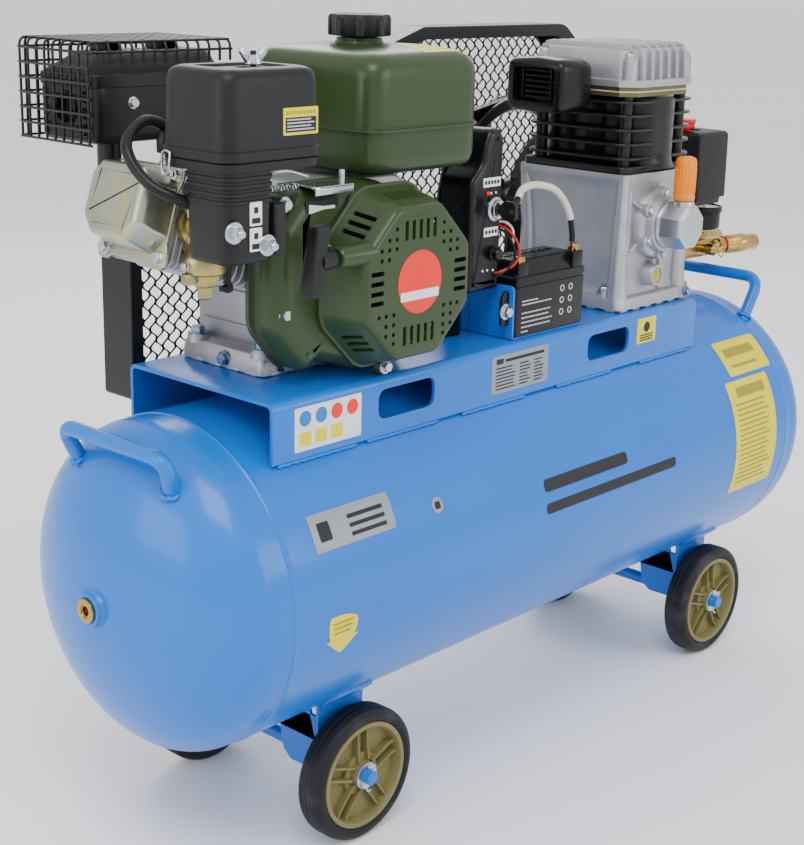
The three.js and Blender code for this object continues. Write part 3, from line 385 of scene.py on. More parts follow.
class Nodes:
    """Small helper for one procedural material."""

    def __init__(self, name):
        self.material = bpy.data.materials.new(name)
        self.material.use_nodes = True
        self.tree = self.material.node_tree
        self.shader = self.tree.nodes["Principled BSDF"]
        coords = self.tree.nodes.new("ShaderNodeTexCoord")
        self.place = coords.outputs["Object"]

    def node(self, kind, **values):
        made = self.tree.nodes.new(kind)
        for key, value in values.items():
            if key in made.inputs:
                made.inputs[key].default_value = value
            else:
                setattr(made, key, value)
        return made

    def link(self, a, b):
        self.tree.links.new(a, b)
        return b

    def noise(self, scale, detail=3.0, rough=0.5, stretch=None):
        made = self.node("ShaderNodeTexNoise", Scale=scale, Detail=detail, Roughness=rough)
        place = self.place
        if stretch:
            mapping = self.node("ShaderNodeMapping")
            mapping.inputs["Scale"].default_value = stretch
            self.link(place, mapping.inputs["Vector"])
            place = mapping.outputs["Vector"]
        self.link(place, made.inputs["Vector"])
        return made.outputs["Fac"]

    def ramp(self, value, stops):
        made = self.node("ShaderNodeValToRGB")
        band = made.color_ramp
        while len(band.elements) < len(stops):
            band.elements.new(0.5)
        for element, (at, colour) in zip(band.elements, stops):
            element.position, element.color = at, colour
        self.link(value, made.inputs["Fac"])
        return made.outputs["Color"]

    def spread(self, value, low, high):
        made = self.node("ShaderNodeMapRange")
        made.inputs["To Min"].default_value, made.inputs["To Max"].default_value = low, high
        self.link(value, made.inputs["Value"])
        return made.outputs["Result"]

    def bump(self, value, strength, distance):
        made = self.node("ShaderNodeBump", Strength=strength, Distance=distance)
        self.link(value, made.inputs["Height"])
        before = self.shader.inputs["Normal"]
        if before.is_linked:
            self.link(before.links[0].from_socket, made.inputs["Normal"])
        self.link(made.outputs["Normal"], before)


def tint(colour, factor):
    return (*(min(1.0, c * factor) for c in colour[:3]), 1.0)


def finish(name, colour, rough, vary=0.12, metal=0.0, coat=0.0, coat_rough=0.05, grain=None, blotch=18.0,
           rough_vary=0.06, wave=None, specular=None, second=None, streak=None, sheen=0.0):
    """A procedural material: colour and gloss that drift, fine grain and a slow ripple in the surface."""
    made = Nodes(name)
    low, high = tint(colour, 1 - vary), second or tint(colour, 1 + vary)
    drift = made.noise(blotch, 4.0, 0.55, streak)
    made.link(made.ramp(drift, [(0.3, low), (0.5, colour), (0.72, high)]), made.shader.inputs["Base Color"])
    patch = made.noise(blotch * 6, 3.0, 0.6, streak)
    made.link(made.spread(patch, rough - rough_vary, rough + rough_vary), made.shader.inputs["Roughness"])
    made.shader.inputs["Metallic"].default_value = metal
    made.shader.inputs["Coat Weight"].default_value = 0.45 * coat
    made.shader.inputs["Coat Roughness"].default_value = coat_rough
    made.shader.inputs["Sheen Weight"].default_value = sheen
    if specular is not None or metal == 0:
        made.shader.inputs["Specular IOR Level"].default_value = 0.28 if specular is None else specular
    if grain:
        made.bump(made.noise(grain[0], 3.0, 0.6), grain[1], grain[2])
    if wave:
        made.bump(made.noise(wave[0], 1.5, 0.4), wave[1], wave[2])
    return made.material


BLUE = finish("blue_enamel", srgb(0, 106, 202), 0.30, 0.035, coat=0.35, coat_rough=0.12, blotch=5,
              rough_vary=0.03, wave=(420, 0.10, 0.0004), grain=(2200, 0.05, 0.0002))
TANK_BLUE = finish("tank_enamel", srgb(0, 106, 202), 0.30, 0.03, coat=0.4, coat_rough=0.10, blotch=4,
                   rough_vary=0.03, wave=(260, 0.10, 0.0005), grain=(2000, 0.04, 0.0002))
GREEN = finish("green_enamel", srgb(44, 62, 30), 0.34, 0.06, coat=0.3, coat_rough=0.15, blotch=12,
               wave=(500, 0.08, 0.0004))
BLACK_PAINT = finish("black_enamel", srgb(14, 14, 17), 0.36, 0.10, coat=0.25, coat_rough=0.2, blotch=14,
                     grain=(1800, 0.12, 0.0002))
PLASTIC = finish("black_moulding", srgb(20, 21, 24), 0.44, 0.08, blotch=20, grain=(2600, 0.35, 0.0002))
GLOSS_PLASTIC = finish("gloss_moulding", srgb(13, 13, 16), 0.27, 0.08, blotch=20,
                       grain=(1500, 0.12, 0.0002))
RUBBER = finish("black_hose_rubber", srgb(14, 14, 16), 0.38, 0.10, blotch=30, grain=(1800, 0.3, 0.0002))
TYRE = finish("tyre_rubber", srgb(18, 18, 22), 0.55, 0.12, blotch=22, grain=(1500, 0.5, 0.0003),
              second=srgb(52, 52, 58))
KHAKI = finish("khaki_moulding", srgb(118, 110, 68), 0.46, 0.07, blotch=16, grain=(1400, 0.25, 0.0003))
CAST = finish("cast_aluminium", srgb(172, 173, 178), 0.42, 0.10, metal=0.7, blotch=26, rough_vary=0.10,
              grain=(900, 0.55, 0.0005), wave=(160, 0.15, 0.0008))
CAST_FINE = finish("machined_aluminium", srgb(196, 198, 204), 0.30, 0.06, metal=0.95, blotch=40,
                   grain=(1500, 0.25, 0.0002))
IRON = finish("black_cast_iron", srgb(20, 20, 22), 0.30, 0.12, coat=0.35, coat_rough=0.18, blotch=24,
              grain=(700, 0.45, 0.0004))
STEEL = finish("bright_steel", srgb(190, 194, 202), 0.26, 0.08, metal=1.0, blotch=60,
               grain=(1200, 0.15, 0.0002))
BLUED = finish("blue_zinc_steel", srgb(132, 160, 186), 0.28, 0.14, metal=1.0, blotch=90,
               grain=(1200, 0.2, 0.0002))
ZINC = finish("passivated_zinc", srgb(166, 170, 152), 0.30, 0.10, metal=0.9, blotch=26, rough_vary=0.09,
              second=srgb(186, 172, 128), grain=(1100, 0.2, 0.0002))
BRASS = finish("brass", srgb(182, 150, 84), 0.26, 0.12, metal=1.0, blotch=50, second=srgb(204, 178, 116),
               grain=(1200, 0.2, 0.0002))
BRONZE = finish("valve_plate_bronze", srgb(112, 104, 70), 0.40, 0.10, metal=0.75, blotch=50,
                grain=(1200, 0.3, 0.0002))
ORANGE = finish("orange_moulding", srgb(244, 132, 2), 0.38, 0.05, blotch=40, grain=(1500, 0.15, 0.0002))
RED = finish("red_moulding", srgb(214, 14, 8), 0.32, 0.06, blotch=40, grain=(1500, 0.15, 0.0002))
SLEEVE = finish("white_cable_sleeve", srgb(206, 200, 188), 0.55, 0.08, blotch=120,
                grain=(1600, 0.5, 0.0004),
                second=srgb(226, 214, 196))
RED_WIRE = finish("red_wire", srgb(196, 24, 20), 0.35, 0.08, blotch=60, grain=(1600, 0.1, 0.0002))
YELLOW = finish("yellow_label", srgb(224, 208, 6), 0.45, 0.04, blotch=30, grain=(1200, 0.05, 0.0001))
WHITE = finish("white_label", srgb(226, 228, 232), 0.45, 0.03, blotch=30, grain=(1200, 0.05, 0.0001))
GREY_LABEL = finish("grey_label", srgb(136, 142, 150), 0.40, 0.05, metal=0.3, blotch=30,
                    grain=(1200, 0.05, 0.0001))
RED_LABEL = finish("red_label", srgb(232, 40, 28), 0.38, 0.03, blotch=30, grain=(1200, 0.05, 0.0001))
INK = finish("dark_ink", srgb(30, 31, 36), 0.5, 0.08, blotch=60, grain=(1400, 0.1, 0.0001))
PALE_INK = finish("pale_ink", srgb(176, 180, 186), 0.5, 0.05, blotch=60, grain=(1400, 0.1, 0.0001))
OLIVE_INK = finish("olive_ink", srgb(150, 142, 40), 0.5, 0.05, blotch=60, grain=(1400, 0.1, 0.0001))
SIGHT = finish("sight_glass_oil", srgb(176, 160, 40), 0.12, 0.15, coat=0.8, coat_rough=0.03, blotch=140,
               second=srgb(110, 120, 40))
CARB_ZINC = finish("carburettor_zinc", srgb(150, 148, 104), 0.30, 0.16, metal=0.9, blotch=45,
                   rough_vary=0.1,
                   second=srgb(188, 158, 84), grain=(900, 0.35, 0.0003))
# Near-black and rough: painted shade, the darkness inside the recoil cover, put on the reel that shows
# through the vents
INSIDE_SHADE = finish("painted_inside_shade", srgb(12, 12, 13), 0.7, 0.1, blotch=30, grain=(900, 0.2, 0.0003))
DIAL = finish("dial_white", srgb(232, 232, 228), 0.4, 0.02, blotch=30, grain=(1200, 0.04, 0.0001))


# ---------------------------------------------------------------- tank, platform and running gear

TANK_R, TANK_HALF, TANK_Z, DOME_LONG = 175, 569, 299, 88
SEAM_X = 461
PORT_R = 17
TOP_PORTS = (372, 432)
PLATE_X, PLATE_HALF, PLATE_TOP, PLATE_LOW, SHEET = (-432, 312), 110, 503, 440, 4
FLANGE_SLOTS = ((-284, -197), (78, 163))
WHEEL_R, WHEEL_MIDDLE = 75, 124
AXLES = {"left": -323, "right": 364}
DECK = PLATE_TOP + 0.3


def make_tank():
    tank = Part("tank_shell", TANK_BLUE, slot="blue_paint", instead="tank", smooth=50)
    dome = []
    for k in range(33):
        t = math.pi / 2 * k / 32
        dome.append(((TANK_R - 0.9) * math.sin(t), -481 - DOME_LONG * math.cos(t)))
    half = dome + [(TANK_R - 0.9, -SEAM_X - 3), (TANK_R - 0.6, -SEAM_X - 1.6),
                   (TANK_R + 0.5, -SEAM_X - 0.8),
                   (TANK_R + 0.6, -SEAM_X + 0.4), (TANK_R, -SEAM_X + 1.8), (TANK_R, -SEAM_X + 5)]
    profile = half + [(r, -x) for r, x in reversed(half)]
    tank.turned(profile, shift(z=TANK_Z) @ ALONG["X"], 176)
    boss = [(0, -12), (PORT_R + 3.5, -12), (PORT_R + 2.4, 0.5), (PORT_R + 0.4, 2.2), (PORT_R, 4.2),
            (PORT_R, 6.4),
            (PORT_R - 0.6, 7), (12.6, 7), (11.6, 6), (11.6, -4), (0, -4)]
    tank.turned(boss, shift(-TANK_HALF, 0, TANK_Z) @ ALONG["-X"], 64)
    tank.turned(boss, shift(TANK_HALF - 0.5, 0, TANK_Z) @ ALONG["X"], 64)
    for x in TOP_PORTS:
        tank.turned(boss, shift(x, 0, TANK_Z + TANK_R) @ ALONG["Z"], 48)
    tank.turned([(0, -8), (15, -8), (14.4, 0), (13.4, 2), (13, 6), (0, 6)],
                shift(0, 0, TANK_Z - TANK_R + 0.3) @ ALONG["-Z"], 48)

    plug = Part("tank_port_plug", BRASS, slot="brass", instead="tank_plug")
    spot = shift(-TANK_HALF, 0, TANK_Z) @ ALONG["-X"]
    plug.turned([(0, -4), (11.4, -4), (11.4, 6.4), (12.6, 7.4), (12.6, 9.6), (11.8, 10.6), (7.4, 10.6),
                 (6.8, 9.8),
                 (6.8, 2.5), (0, 1.5)], spot, 48)
    socket = ring(5.6, n=6)
    plug.plate([ring(7.1, n=36), socket], 2, 9.2, spot, 0.3)
    far = shift(TANK_HALF - 0.5, 0, TANK_Z) @ ALONG["X"]
    end = Part("tank_far_plug", BRASS, slot="brass")
    end.turned([(0, -4), (11.4, -4), (11.4, 7.6), (0, 7.6)], far, 40)
    end.hex((TANK_HALF + 7, 0, TANK_Z), "X", 19, 5.6)

    drain = Part("drain_cock", BRASS, body="drain", slot="brass", instead="drain_valve")
    low = shift(0, 0, 129) @ ALONG["-Z"]
    hollow = 2.2
    drain.turned([(0, 13.6), (6.5, 13.6), (7.6, 14.6), (7.6, 20), (9.6, 21), (10.6, 23), (10.6, 31),
                  (9.8, 32.4),
                  (5.4, 32.4), (4.4, 37), (hollow, 37.4), (hollow, 30), (0, 30)], low, 40)
    drain.box(-14, 14, -2.2, 2.2, 99, 107.5, 1.6, 3)
    for k in range(18):
        drain.box(9.9, 11, -0.9, 0.9, 98.6, 105.4, 0.4, 1, turn(20 * k, "Z"))


def make_platform():
    low, high = PLATE_LOW, PLATE_TOP
    outer, inner, r = PLATE_HALF, PLATE_HALF - SHEET, 9
    bend = [(outer - r + r * math.cos(math.pi / 2 * k / 8), high - r + r * math.sin(math.pi / 2 * k / 8))
            for k in range(9)]
    ri = r - SHEET
    turn_in = [(inner - ri + ri * math.cos(math.pi / 2 * k / 8),
                high - SHEET - ri + ri * math.sin(math.pi / 2 * k / 8))
               for k in range(9)]
    outside = [(outer - 0.8, low)] + [(outer, low + 0.8)] + bend
    inside = [(inner, low)] + turn_in
    profile = outside + [(-y, z) for y, z in reversed(outside)]
    profile += [(-y, z) for y, z in inside] + list(reversed(inside))
    deck = Part("platform_channel", BLUE, slot="blue_paint", instead="platform", smooth=30)
    x0, x1 = PLATE_X
    grow = [(x0, -0.6), (x0 + 0.6, 0), (x1 - 0.6, 0), (x1, -0.6)]
    deck.grid([[(x, y * (1 + d / 400), z + (d * 0.4 if z > 490 else 0)) for y, z in profile] for x,
               d in grow])
    holes = Part("cut", BLUE)
    for a, b in FLANGE_SLOTS:
        for y in (-outer, inner):
            holes.xz(oblong(a, b, 458, 490, 12, 6), y - 3, y + SHEET + 3)
    for x in (-349, -191):
        for y in (-18, 83):
            holes.plate(oblong(x - 9, x + 9, y - 4.5, y + 4.5, 4.4, 5), high - 8, high + 4)
    deck.cut(holes)
    welds = Part("platform_welds", BLUE, slot="blue_paint", smooth=60)
    rng = random.Random(4)
    for side in (-1, 1):
        for start in (-425, -300, -150, 20, 190):
            line = [(start + 3 * k, side * (outer - 1.0 + rng.uniform(-0.3, 0.3)),
                     438.4 + rng.uniform(-0.3, 0.3)) for k in range(38)]
            sizes = [2.0 + 0.5 * math.sin(k * 1.7) + (0 if 0 < k < 37 else -1) for k in range(38)]
            welds.tube(line, sizes, 8)


def make_handles():
    bar = 8
    feet = {"left": ((-528, 72, 430), (-540, 82, 463)), "right": ((481, 84, 452), (513, 84, 500))}
    for side, (foot, top) in feet.items():
        fx, fy, fz = foot
        tx, ty, tz = top
        into = (Vector(foot) - Vector(top)).normalized() * 9
        ends = [(fx + into.x, s * (fy + into.y), fz + into.z) for s in (-1, 1)]
        path = [ends[0], (tx, -ty, tz), (tx, ty, tz), ends[1]]
        handle = Part(f"carry_handle_{side}", BLUE, slot="blue_paint", instead=f"handle_{side}", smooth=60)
        handle.tube(bent_line(path, 24, 12), bar, 24)
        for s in (-1, 1):
            centre = Vector((fx + into.x * 0.25, s * (fy + into.y * 0.25), fz + into.z * 0.25))
            axis = Vector((tx - fx, s * (ty - fy), tz - fz)).to_track_quat("Z", "Y").to_matrix().to_4x4()
            loop = [((9.4 + 0.5 * math.sin(5 * a)) * math.cos(a),
                     (9.4 + 0.5 * math.sin(5 * a)) * math.sin(a),
                     0.6 * math.sin(7 * a)) for a in (2 * math.pi * k / 40 for k in range(40))]
            handle.tube(loop, 2.4, 8, True, Matrix.Translation(centre) @ axis)


def make_running_gear():
    for side, x in AXLES.items():
        bracket = Part(f"axle_bracket_{side}_plates", BLUE, slot="blue_paint",
                       instead=f"axle_bracket_{side}")
        leg = rounded([(x - 34, 168), (x - 34, 92), (x - 21, 61), (x - 11, 54), (x + 11, 54), (x + 21, 61),
                       (x + 34, 92), (x + 34, 168)], [0, 9, 6, 6, 6, 6, 9, 0])
        for s in (-1, 1):
            y0 = min(s * 96, s * 100)
            bracket.xz([leg, ring(8.6, x, WHEEL_R, 32)], y0, y0 + 4, 0.7)
            arc = []
            for k in range(13):
                a = math.radians(34.2 + 9.5 * k / 12)
                arc.append((s * (TANK_R + 0.2) * math.sin(a), TANK_Z - (TANK_R + 0.2) * math.cos(a)))
            lower = [(y + s * 0.6, z - 3.8) for y, z in arc]
            lower[0] = (s * 96.4, 149.5)
            strip = [(y, z) for y, z in arc + lower[::-1]]
            rows = []
            for px, f in ((x - 31, 0.55), (x - 29, 0.86), (x - 26, 1), (x + 26, 1), (x + 29, 0.86),
                          (x + 31, 0.55)):
                y_base, z_base = s * 96, 150.5
                rows.append([(px, y_base + (y - y_base) * f, z_base + (z - z_base) * f) for y, z in strip])
            bracket.grid(rows)
            web = [(s * y, z) for y, z in rounded(
                [(97, 77), (97, 112), (84, 154), (34, 154), (45, 86), (58, 76)], [0, 0, 0, 0, 12, 9])]
            bracket.yz(web, x - 34, x - 30, 0.8)
            bracket.turned([(8.8, 0), (13, 0), (13, 6.0), (12.4, 6.6), (8.8, 6.6)],
                           shift(x, s * 100.2, WHEEL_R) @ ALONG["Y" if s > 0 else "-Y"], 40, True)
        bracket.box(x - 34, x - 30, -96, 96, 112, 141, 0.8)

        axle = Part(f"axle_rod_{side}", BLUE, slot="blue_paint", instead=f"axle_{side}")
        end = 150.6
        axle.turned([(0, -end), (6.6, -end), (8, -end + 1.6), (8, end - 1.6), (6.6, end), (0, end)],
                    shift(x, 0, WHEEL_R) @ ALONG["Y"], 40)
        trim = Part(f"axle_washers_{side}", STEEL, slot="zinc_steel")
        for s, face in ((-1, "-Y"), (1, "Y")):
            spot = shift(x, s * 138.9, WHEEL_R) @ ALONG[face]
            trim.turned([(8.2, 0), (14.6, 0), (15, 0.4), (15, 1.7), (14.6, 2.1), (8.2, 2.1)], spot, 40,
                        True)
            pin = [(0, 0, -12.5), (0, 0, 10)]
            trim.tube(pin, 1.5, 10, matrix=shift(x, s * 145.5, WHEEL_R) @ turn(28, "Y"))
            eye = [(2.6 * math.cos(a), 0,
                    11.6 + 2.8 * math.sin(a)) for a in (2 * math.pi * k / 16 for k in range(16))]
            trim.tube(eye, 0.9, 8, True, matrix=shift(x, s * 145.5, WHEEL_R) @ turn(28, "Y"))
            trim.tube([(0, 0, -12), (1, s * 0.8, -14), (4, s * 1.2, -15), (7, s * 1.2, -13)], 0.9, 8,
                      matrix=shift(x, s * 145.5, WHEEL_R) @ turn(28, "Y"))
        for place, s in (("front", -1), ("back", 1)):
            make_wheel(f"{side}_{place}", x, s)


def make_wheel(name, x, s):
    spot = shift(x, s * WHEEL_MIDDLE, WHEEL_R) @ ALONG["Y" if s > 0 else "-Y"]
    body = f"wheel_{name}"
    tyre = Part(f"tyre_{name}_ring", TYRE, body, "tyre_rubber", f"tyre_{name}", smooth=28)
    half = [(60.2, 14.2), (61.6, 15.4), (63.4, 15.6), (64.6, 16.6), (68.4, 16.4), (70.4, 15.2),
            (70.9, 14.4),
            (72.0, 13.9), (73.6, 12.4), (74.5, 10.2), (74.9, 8.2), (74.5, 7.4), (74.5, 6.9), (75, 6.2),
            (75, 1.4),
            (74.5, 0.6)]
    profile = half + [(r, -t) for r, t in reversed(half)]
    tyre.turned(profile, spot, 120, True)

    rim = Part(f"rim_{name}_disc", KHAKI, body, "khaki_plastic", f"rim_{name}", smooth=30)
    outer = 59.9
    section = [(8.7, 14.2), (9.2, 14.7), (14.2, 14.7), (15.2, 14.0), (16.2, 8.6), (23.4, 8.0), (24.2, 7.4),
               (25.2, 3.0), (49.0, 2.4), (51.4, 3.4), (53.4, 9.6), (54.2, 14.6), (55.0, 15.6), (57.6, 16.2),
               (59.2, 15.8), (outer, 14.8), (outer, -14.8), (59.2, -15.8), (55, -16), (53.4, -9.6),
               (51.4, -2.4),
               (25.2, -2.2), (16.2, -8), (15, -15), (8.7, -15)]
    rim.turned(section, spot, 96, True)
    for k in range(5):
        for gap in (-7, 7):
            rib = [(15.5, 7.5), (15.5, 12.4), (22, 11.4), (46, 9.4), (53.2, 10.6), (53.2, 2.6), (15.5, 2.6)]
            local = turn(72 * k + 90,
                         "Z") @ Matrix(((1, 0, 0, 0), (0, 0, 1, gap), (0, 1, 0, 0), (0, 0, 0, 1)))
            rim.plate(rib, -1.5, 1.5, spot @ local, 0.7)
    for k in range(5):
        base = turn(72 * k + 90 + 36, "Z") @ shift(27.5)
        rim.stack([(2, ring(3.4, n=20)), (3.4, ring(3.2, n=20)), (3.7, ring(2.7, n=20))], spot @ base)


# ---------------------------------------------------------------- engine

ENGINE_X, CRANK_Z = -269, 608
CYLINDER_Y, CYLINDER_TILT = -4, math.radians(18)
ALONG_CYLINDER = shift(ENGINE_X, CYLINDER_Y, CRANK_Z) @ Matrix((
    (0, math.sin(CYLINDER_TILT), -math.cos(CYLINDER_TILT), 0),
    (-1, 0, 0, 0),
    (0, math.cos(CYLINDER_TILT), math.sin(CYLINDER_TILT), 0),
    (0, 0, 0, 1)))
SHROUD_BACK, SHROUD_FRONT = -52, -96
COVER_FACE = -149
GRIP = (-402, -136, 642)
FUEL = {"x": (-290, -116), "y": (-100, 92), "z": (705, 822), "seam": 751}
CAP_X = -208
AIR_X, AIR_Y, AIR_Z = (-525, -404), (-152, -56), (743, 823)
LOW_X, LOW_Y, LOW_Z = (-522, -461), (-149, -91), (652, 734)
STUD = (-450.5, -104)
CARB_X, CARB_Y = -478, -66
CAN_X, CAN_Y, CAN_Z, SHOULDER = (-510, -345), (55, 143), (739, 824), 805
CAGE_X, CAGE_Y, CAGE_Z = (-516, -340), (50, 170), (738, 836)
HOSE = ((-470, -4, 748), (-471, -4, 757), (-482, -7, 765), (-502, -12, 768), (-524, -20, 760),
        (-538, -31, 749),
        (-541, -45, 733), (-538, -64, 718), (-526, -80, 708), (-508, -88, 702))


def inset(loop, distance):
    """Outline moved inwards along its corner normals."""
    area = sum(a[0] * b[1] - b[0] * a[1] for a, b in zip(loop, loop[1:] + loop[:1]))
    side = 1 if area > 0 else -1
    out = []
    for i, p in enumerate(loop):
        a, b = loop[i - 1], loop[(i + 1) % len(loop)]
        dx, dy = b[0] - a[0], b[1] - a[1]
        size = math.hypot(dx, dy) or 1
        out.append((p[0] - side * distance * dy / size, p[1] + side * distance * dx / size))
    return out


def make_engine_block():
    block = Part("crankcase", CAST, slot="cast_aluminium", instead="engine_block")
    body = oblong(-350, -186, 517, 700, 24, 8)
    block.xz(body, -50, 96, 3.5, 3)
    block.xz(inset(body, 8), 95, 99, 1.5)
    block.turned([(11, 0), (34, 0), (34, 7), (33, 8), (20, 8), (18, 6), (11, 6)],
                 shift(ENGINE_X, 96, CRANK_Z) @ ALONG["Y"], 64, True)
    foot = oblong(-375, -165, -32, 96, 9, 6)
    block.stack([(DECK + 1.5, foot), (DECK + 9, foot), (DECK + 19, inset(foot, 2.4)),
                 (DECK + 21.5, inset(foot, 4)),
                 (DECK + 22.5, inset(foot, 7))])
    for x in (-350, -315, -280, -245, -210):
        block.box(x - 11, x + 11, -32.5, 96, DECK, DECK + 4, 1)
    for y in (-14, 14, 42, 70):
        block.box(-375.5, -164.5, y - 9, y + 9, DECK, DECK + 4, 1)
    for x, y in ((-364, -20), (-364, 80), (-176, -20), (-176, 80)):
        block.turned([(0, 18), (12, 18), (11, 26.3), (10, 27), (0, 27)], shift(x, y, DECK), 32)
    for z in (545, 580, 615, 650, 680):
        block.box(-354, -348, -38, 84, z - 1.6, z + 1.6, 1)
        block.box(-188, -182, -38, 84, z - 1.6, z + 1.6, 1)
    block.turned([(0, 60), (40, 60), (40, 182), (0, 182)], ALONG_CYLINDER, 48)
    for s in range(88, 180, 9):
        block.plate(oblong(-46, 46, -50, 50, 18, 6), s, s + 2.8, ALONG_CYLINDER, 0.8)

    bolts = Part("engine_fixings", BLUED, slot="zinc_steel")
    for x, y in ((-364, -20), (-364, 80), (-176, -20), (-176, 80)):
        bolts.hex((x, y, DECK + 26.6), "Z", 13, 6.5, 11, 1.8)
    bolts.hex((-374.5, 26, DECK + 11), "-X", 12, 5, 8.6, 1.6)
    bolts.hex((-346, -31.5, DECK + 10), "-Y", 12, 6, 9, 1.6)
    for x, z in ((-334, 534), (-204, 534), (-334, 684), (-204, 684), (-269, 690)):
        bolts.hex((x, 98.6, z), "Y", 10, 4.5, 8, 1.2)

    head = Part("head_casting", CAST, slot="cast_aluminium", instead="cylinder_head")
    head.plate(oblong(-46, 46, -50, 50, 12, 5), 182.3, 205, ALONG_CYLINDER, 2)
    head.plate(oblong(-42, 42, -44, 44, 8, 5), 204, 240, ALONG_CYLINDER, 1.5)
    for s in (208, 216, 224, 232):
        head.plate(oblong(-46, 46, -48, 48, 12, 5), s, s + 2.8, ALONG_CYLINDER, 0.8)
    head.turned([(0, 700), (9, 700), (9, 724), (7, 728), (5, 730), (5, 738), (0, 738)],
                shift(-470, CYLINDER_Y, 0), 32)

    cover = Part("valve_cover", ZINC, slot="zinc_steel", instead="rocker_cover", smooth=40)
    flange = rounded([(-50, -50), (-34, -50), (-28, -46), (28, -46), (34, -50), (50, -50), (50, -34),
                      (47, -26),
                      (47, 26), (50, 34), (50, 46), (-50, 46), (-50, 34), (-47, 26), (-47, -26),
                      (-50, -34)],
                     [9, 5, 5, 5, 5, 9, 5, 5, 5, 5, 9, 9, 5, 5, 5, 5], 4)
    cover.plate(flange, 240.3, 245.5, ALONG_CYLINDER, 1.4)
    lid = [(-30, -38), (30, -38), (45, -20), (45, 26), (33, 41), (-33, 41), (-45, 26), (-45, -20)]
    small = [(-27, -31), (27, -31), (42, -14), (42, 26), (31, 40), (-31, 40), (-42, 26), (-42, -14)]
    levels = [(245, rounded(lid, 6, 5)), (262, rounded([((a + c) / 2, (b + d) / 2) for (a, b), (c, d) in
                                                        zip(lid, small)], 7, 5)),
                                                        (273, rounded(small, 8, 5))]
    end = rounded(small, 8, 5)
    levels += [(276.5, inset(end, 1.0)), (278.8, inset(end, 3.2)), (279.8, inset(end, 6.5)),
               (280.1, inset(end, 11))]
    cover.stack(levels, ALONG_CYLINDER)
    screws = Part("valve_cover_screws", STEEL, slot="bright_steel")
    for u, v in ((-40, -40), (40, -40), (-40, 38), (40, 38)):
        spot = ALONG_CYLINDER @ shift(u, v, 245.2)
        screws.turned([(0, 0), (7.4, 0), (7.4, 1), (6.8, 1.4), (0, 1.4)], spot, 28)
        screws.hex((0, 0, 0), spot @ shift(z=1.2), 10, 4.6)

    shaft = Part("engine_shaft", STEEL, "engine_crank", "bright_steel", "engine_crankshaft")
    shaft.turned([(0, -108), (8, -108), (9.5, -106), (9.5, 151), (8.4, 153), (0, 153)],
                 shift(ENGINE_X, 0, CRANK_Z) @ ALONG["Y"], 40)
    shaft.hex((ENGINE_X, 151.5, CRANK_Z), "Y", 14, 4, 0)


def shroud_outline():
    """Blower housing seen from the front: a round scroll with a squared upper left corner."""
    r, top, left = 102, 702, -412
    arc = [(ENGINE_X + r * math.cos(a), CRANK_Z + r * math.sin(a))
           for a in (math.radians(-118 + 5 * k) for k in range(33))]
    corner = rounded([(ENGINE_X + 34, top), (left + 34, top), (left, top - 34), (left, 566),
                      (ENGINE_X - 98, 512)], [20, 22, 26, 30, 16], 6)
    return arc + corner


def make_shroud():
    shroud = Part("blower_housing", GREEN, slot="green_paint", instead="fan_shroud", smooth=50)
    outline = shroud_outline()
    skin = [(-SHROUD_BACK, inset(outline, 0)), (76, outline), (82, inset(outline, 1.2)),
            (87, inset(outline, 3.6)),
            (91, inset(outline, 7)), (94, inset(outline, 11.5)), (95.6, inset(outline, 16.5)),
            (96, inset(outline, 21))]
    shroud.stack(skin, ALONG["-Y"])
    core = Part("cut", GREEN)
    core.turned([(0, 0), (80, 0), (80, 60), (0, 60)], shift(ENGINE_X, -50, CRANK_Z) @ ALONG["-Y"], 64)
    core.stack([(48, inset(outline, 3)), (80, inset(outline, 3)), (91, inset(outline, 16))], ALONG["-Y"])
    shroud.cut(core)
    rim = inset(outline, -1.6)
    shroud.stack([(50.5, rim), (55, rim), (55.6, inset(outline, -0.4))], ALONG["-Y"])
    inner = Part("cut", GREEN)
    inner.stack([(45, inset(outline, 3)), (60, inset(outline, 3))], ALONG["-Y"])
    shroud.cut(inner)
    for x, z in ((-398, 690), (-398, 583)):
        shroud.turned([(0, 50), (9, 50), (8.4, 88), (6.6, 90), (0, 90)], shift(x, 0, z) @ ALONG["-Y"], 32)
    lens = [(-360, 0), (-338, 9), (-325, 24), (-322, 44), (-322, 70)]
    shroud.tube([(x, -93.5, 620 + z) for x, z in lens[:4]], [2, 5, 5, 2], 12)

    bolts = Part("housing_screws", STEEL, slot="bright_steel")
    for x, z in ((-398, 690), (-398, 583)):
        bolts.hex((x, -89.8, z), "-Y", 10, 4.6, 7.6, 1.2)


def octagon(r, corner=10.0):
    side = math.pi / 4
    reach = r / math.cos(side / 2)
    points = [(reach * math.cos(side * (k + 0.5)), reach * math.sin(side * (k + 0.5))) for k in range(8)]
    return rounded(points, corner, 9)


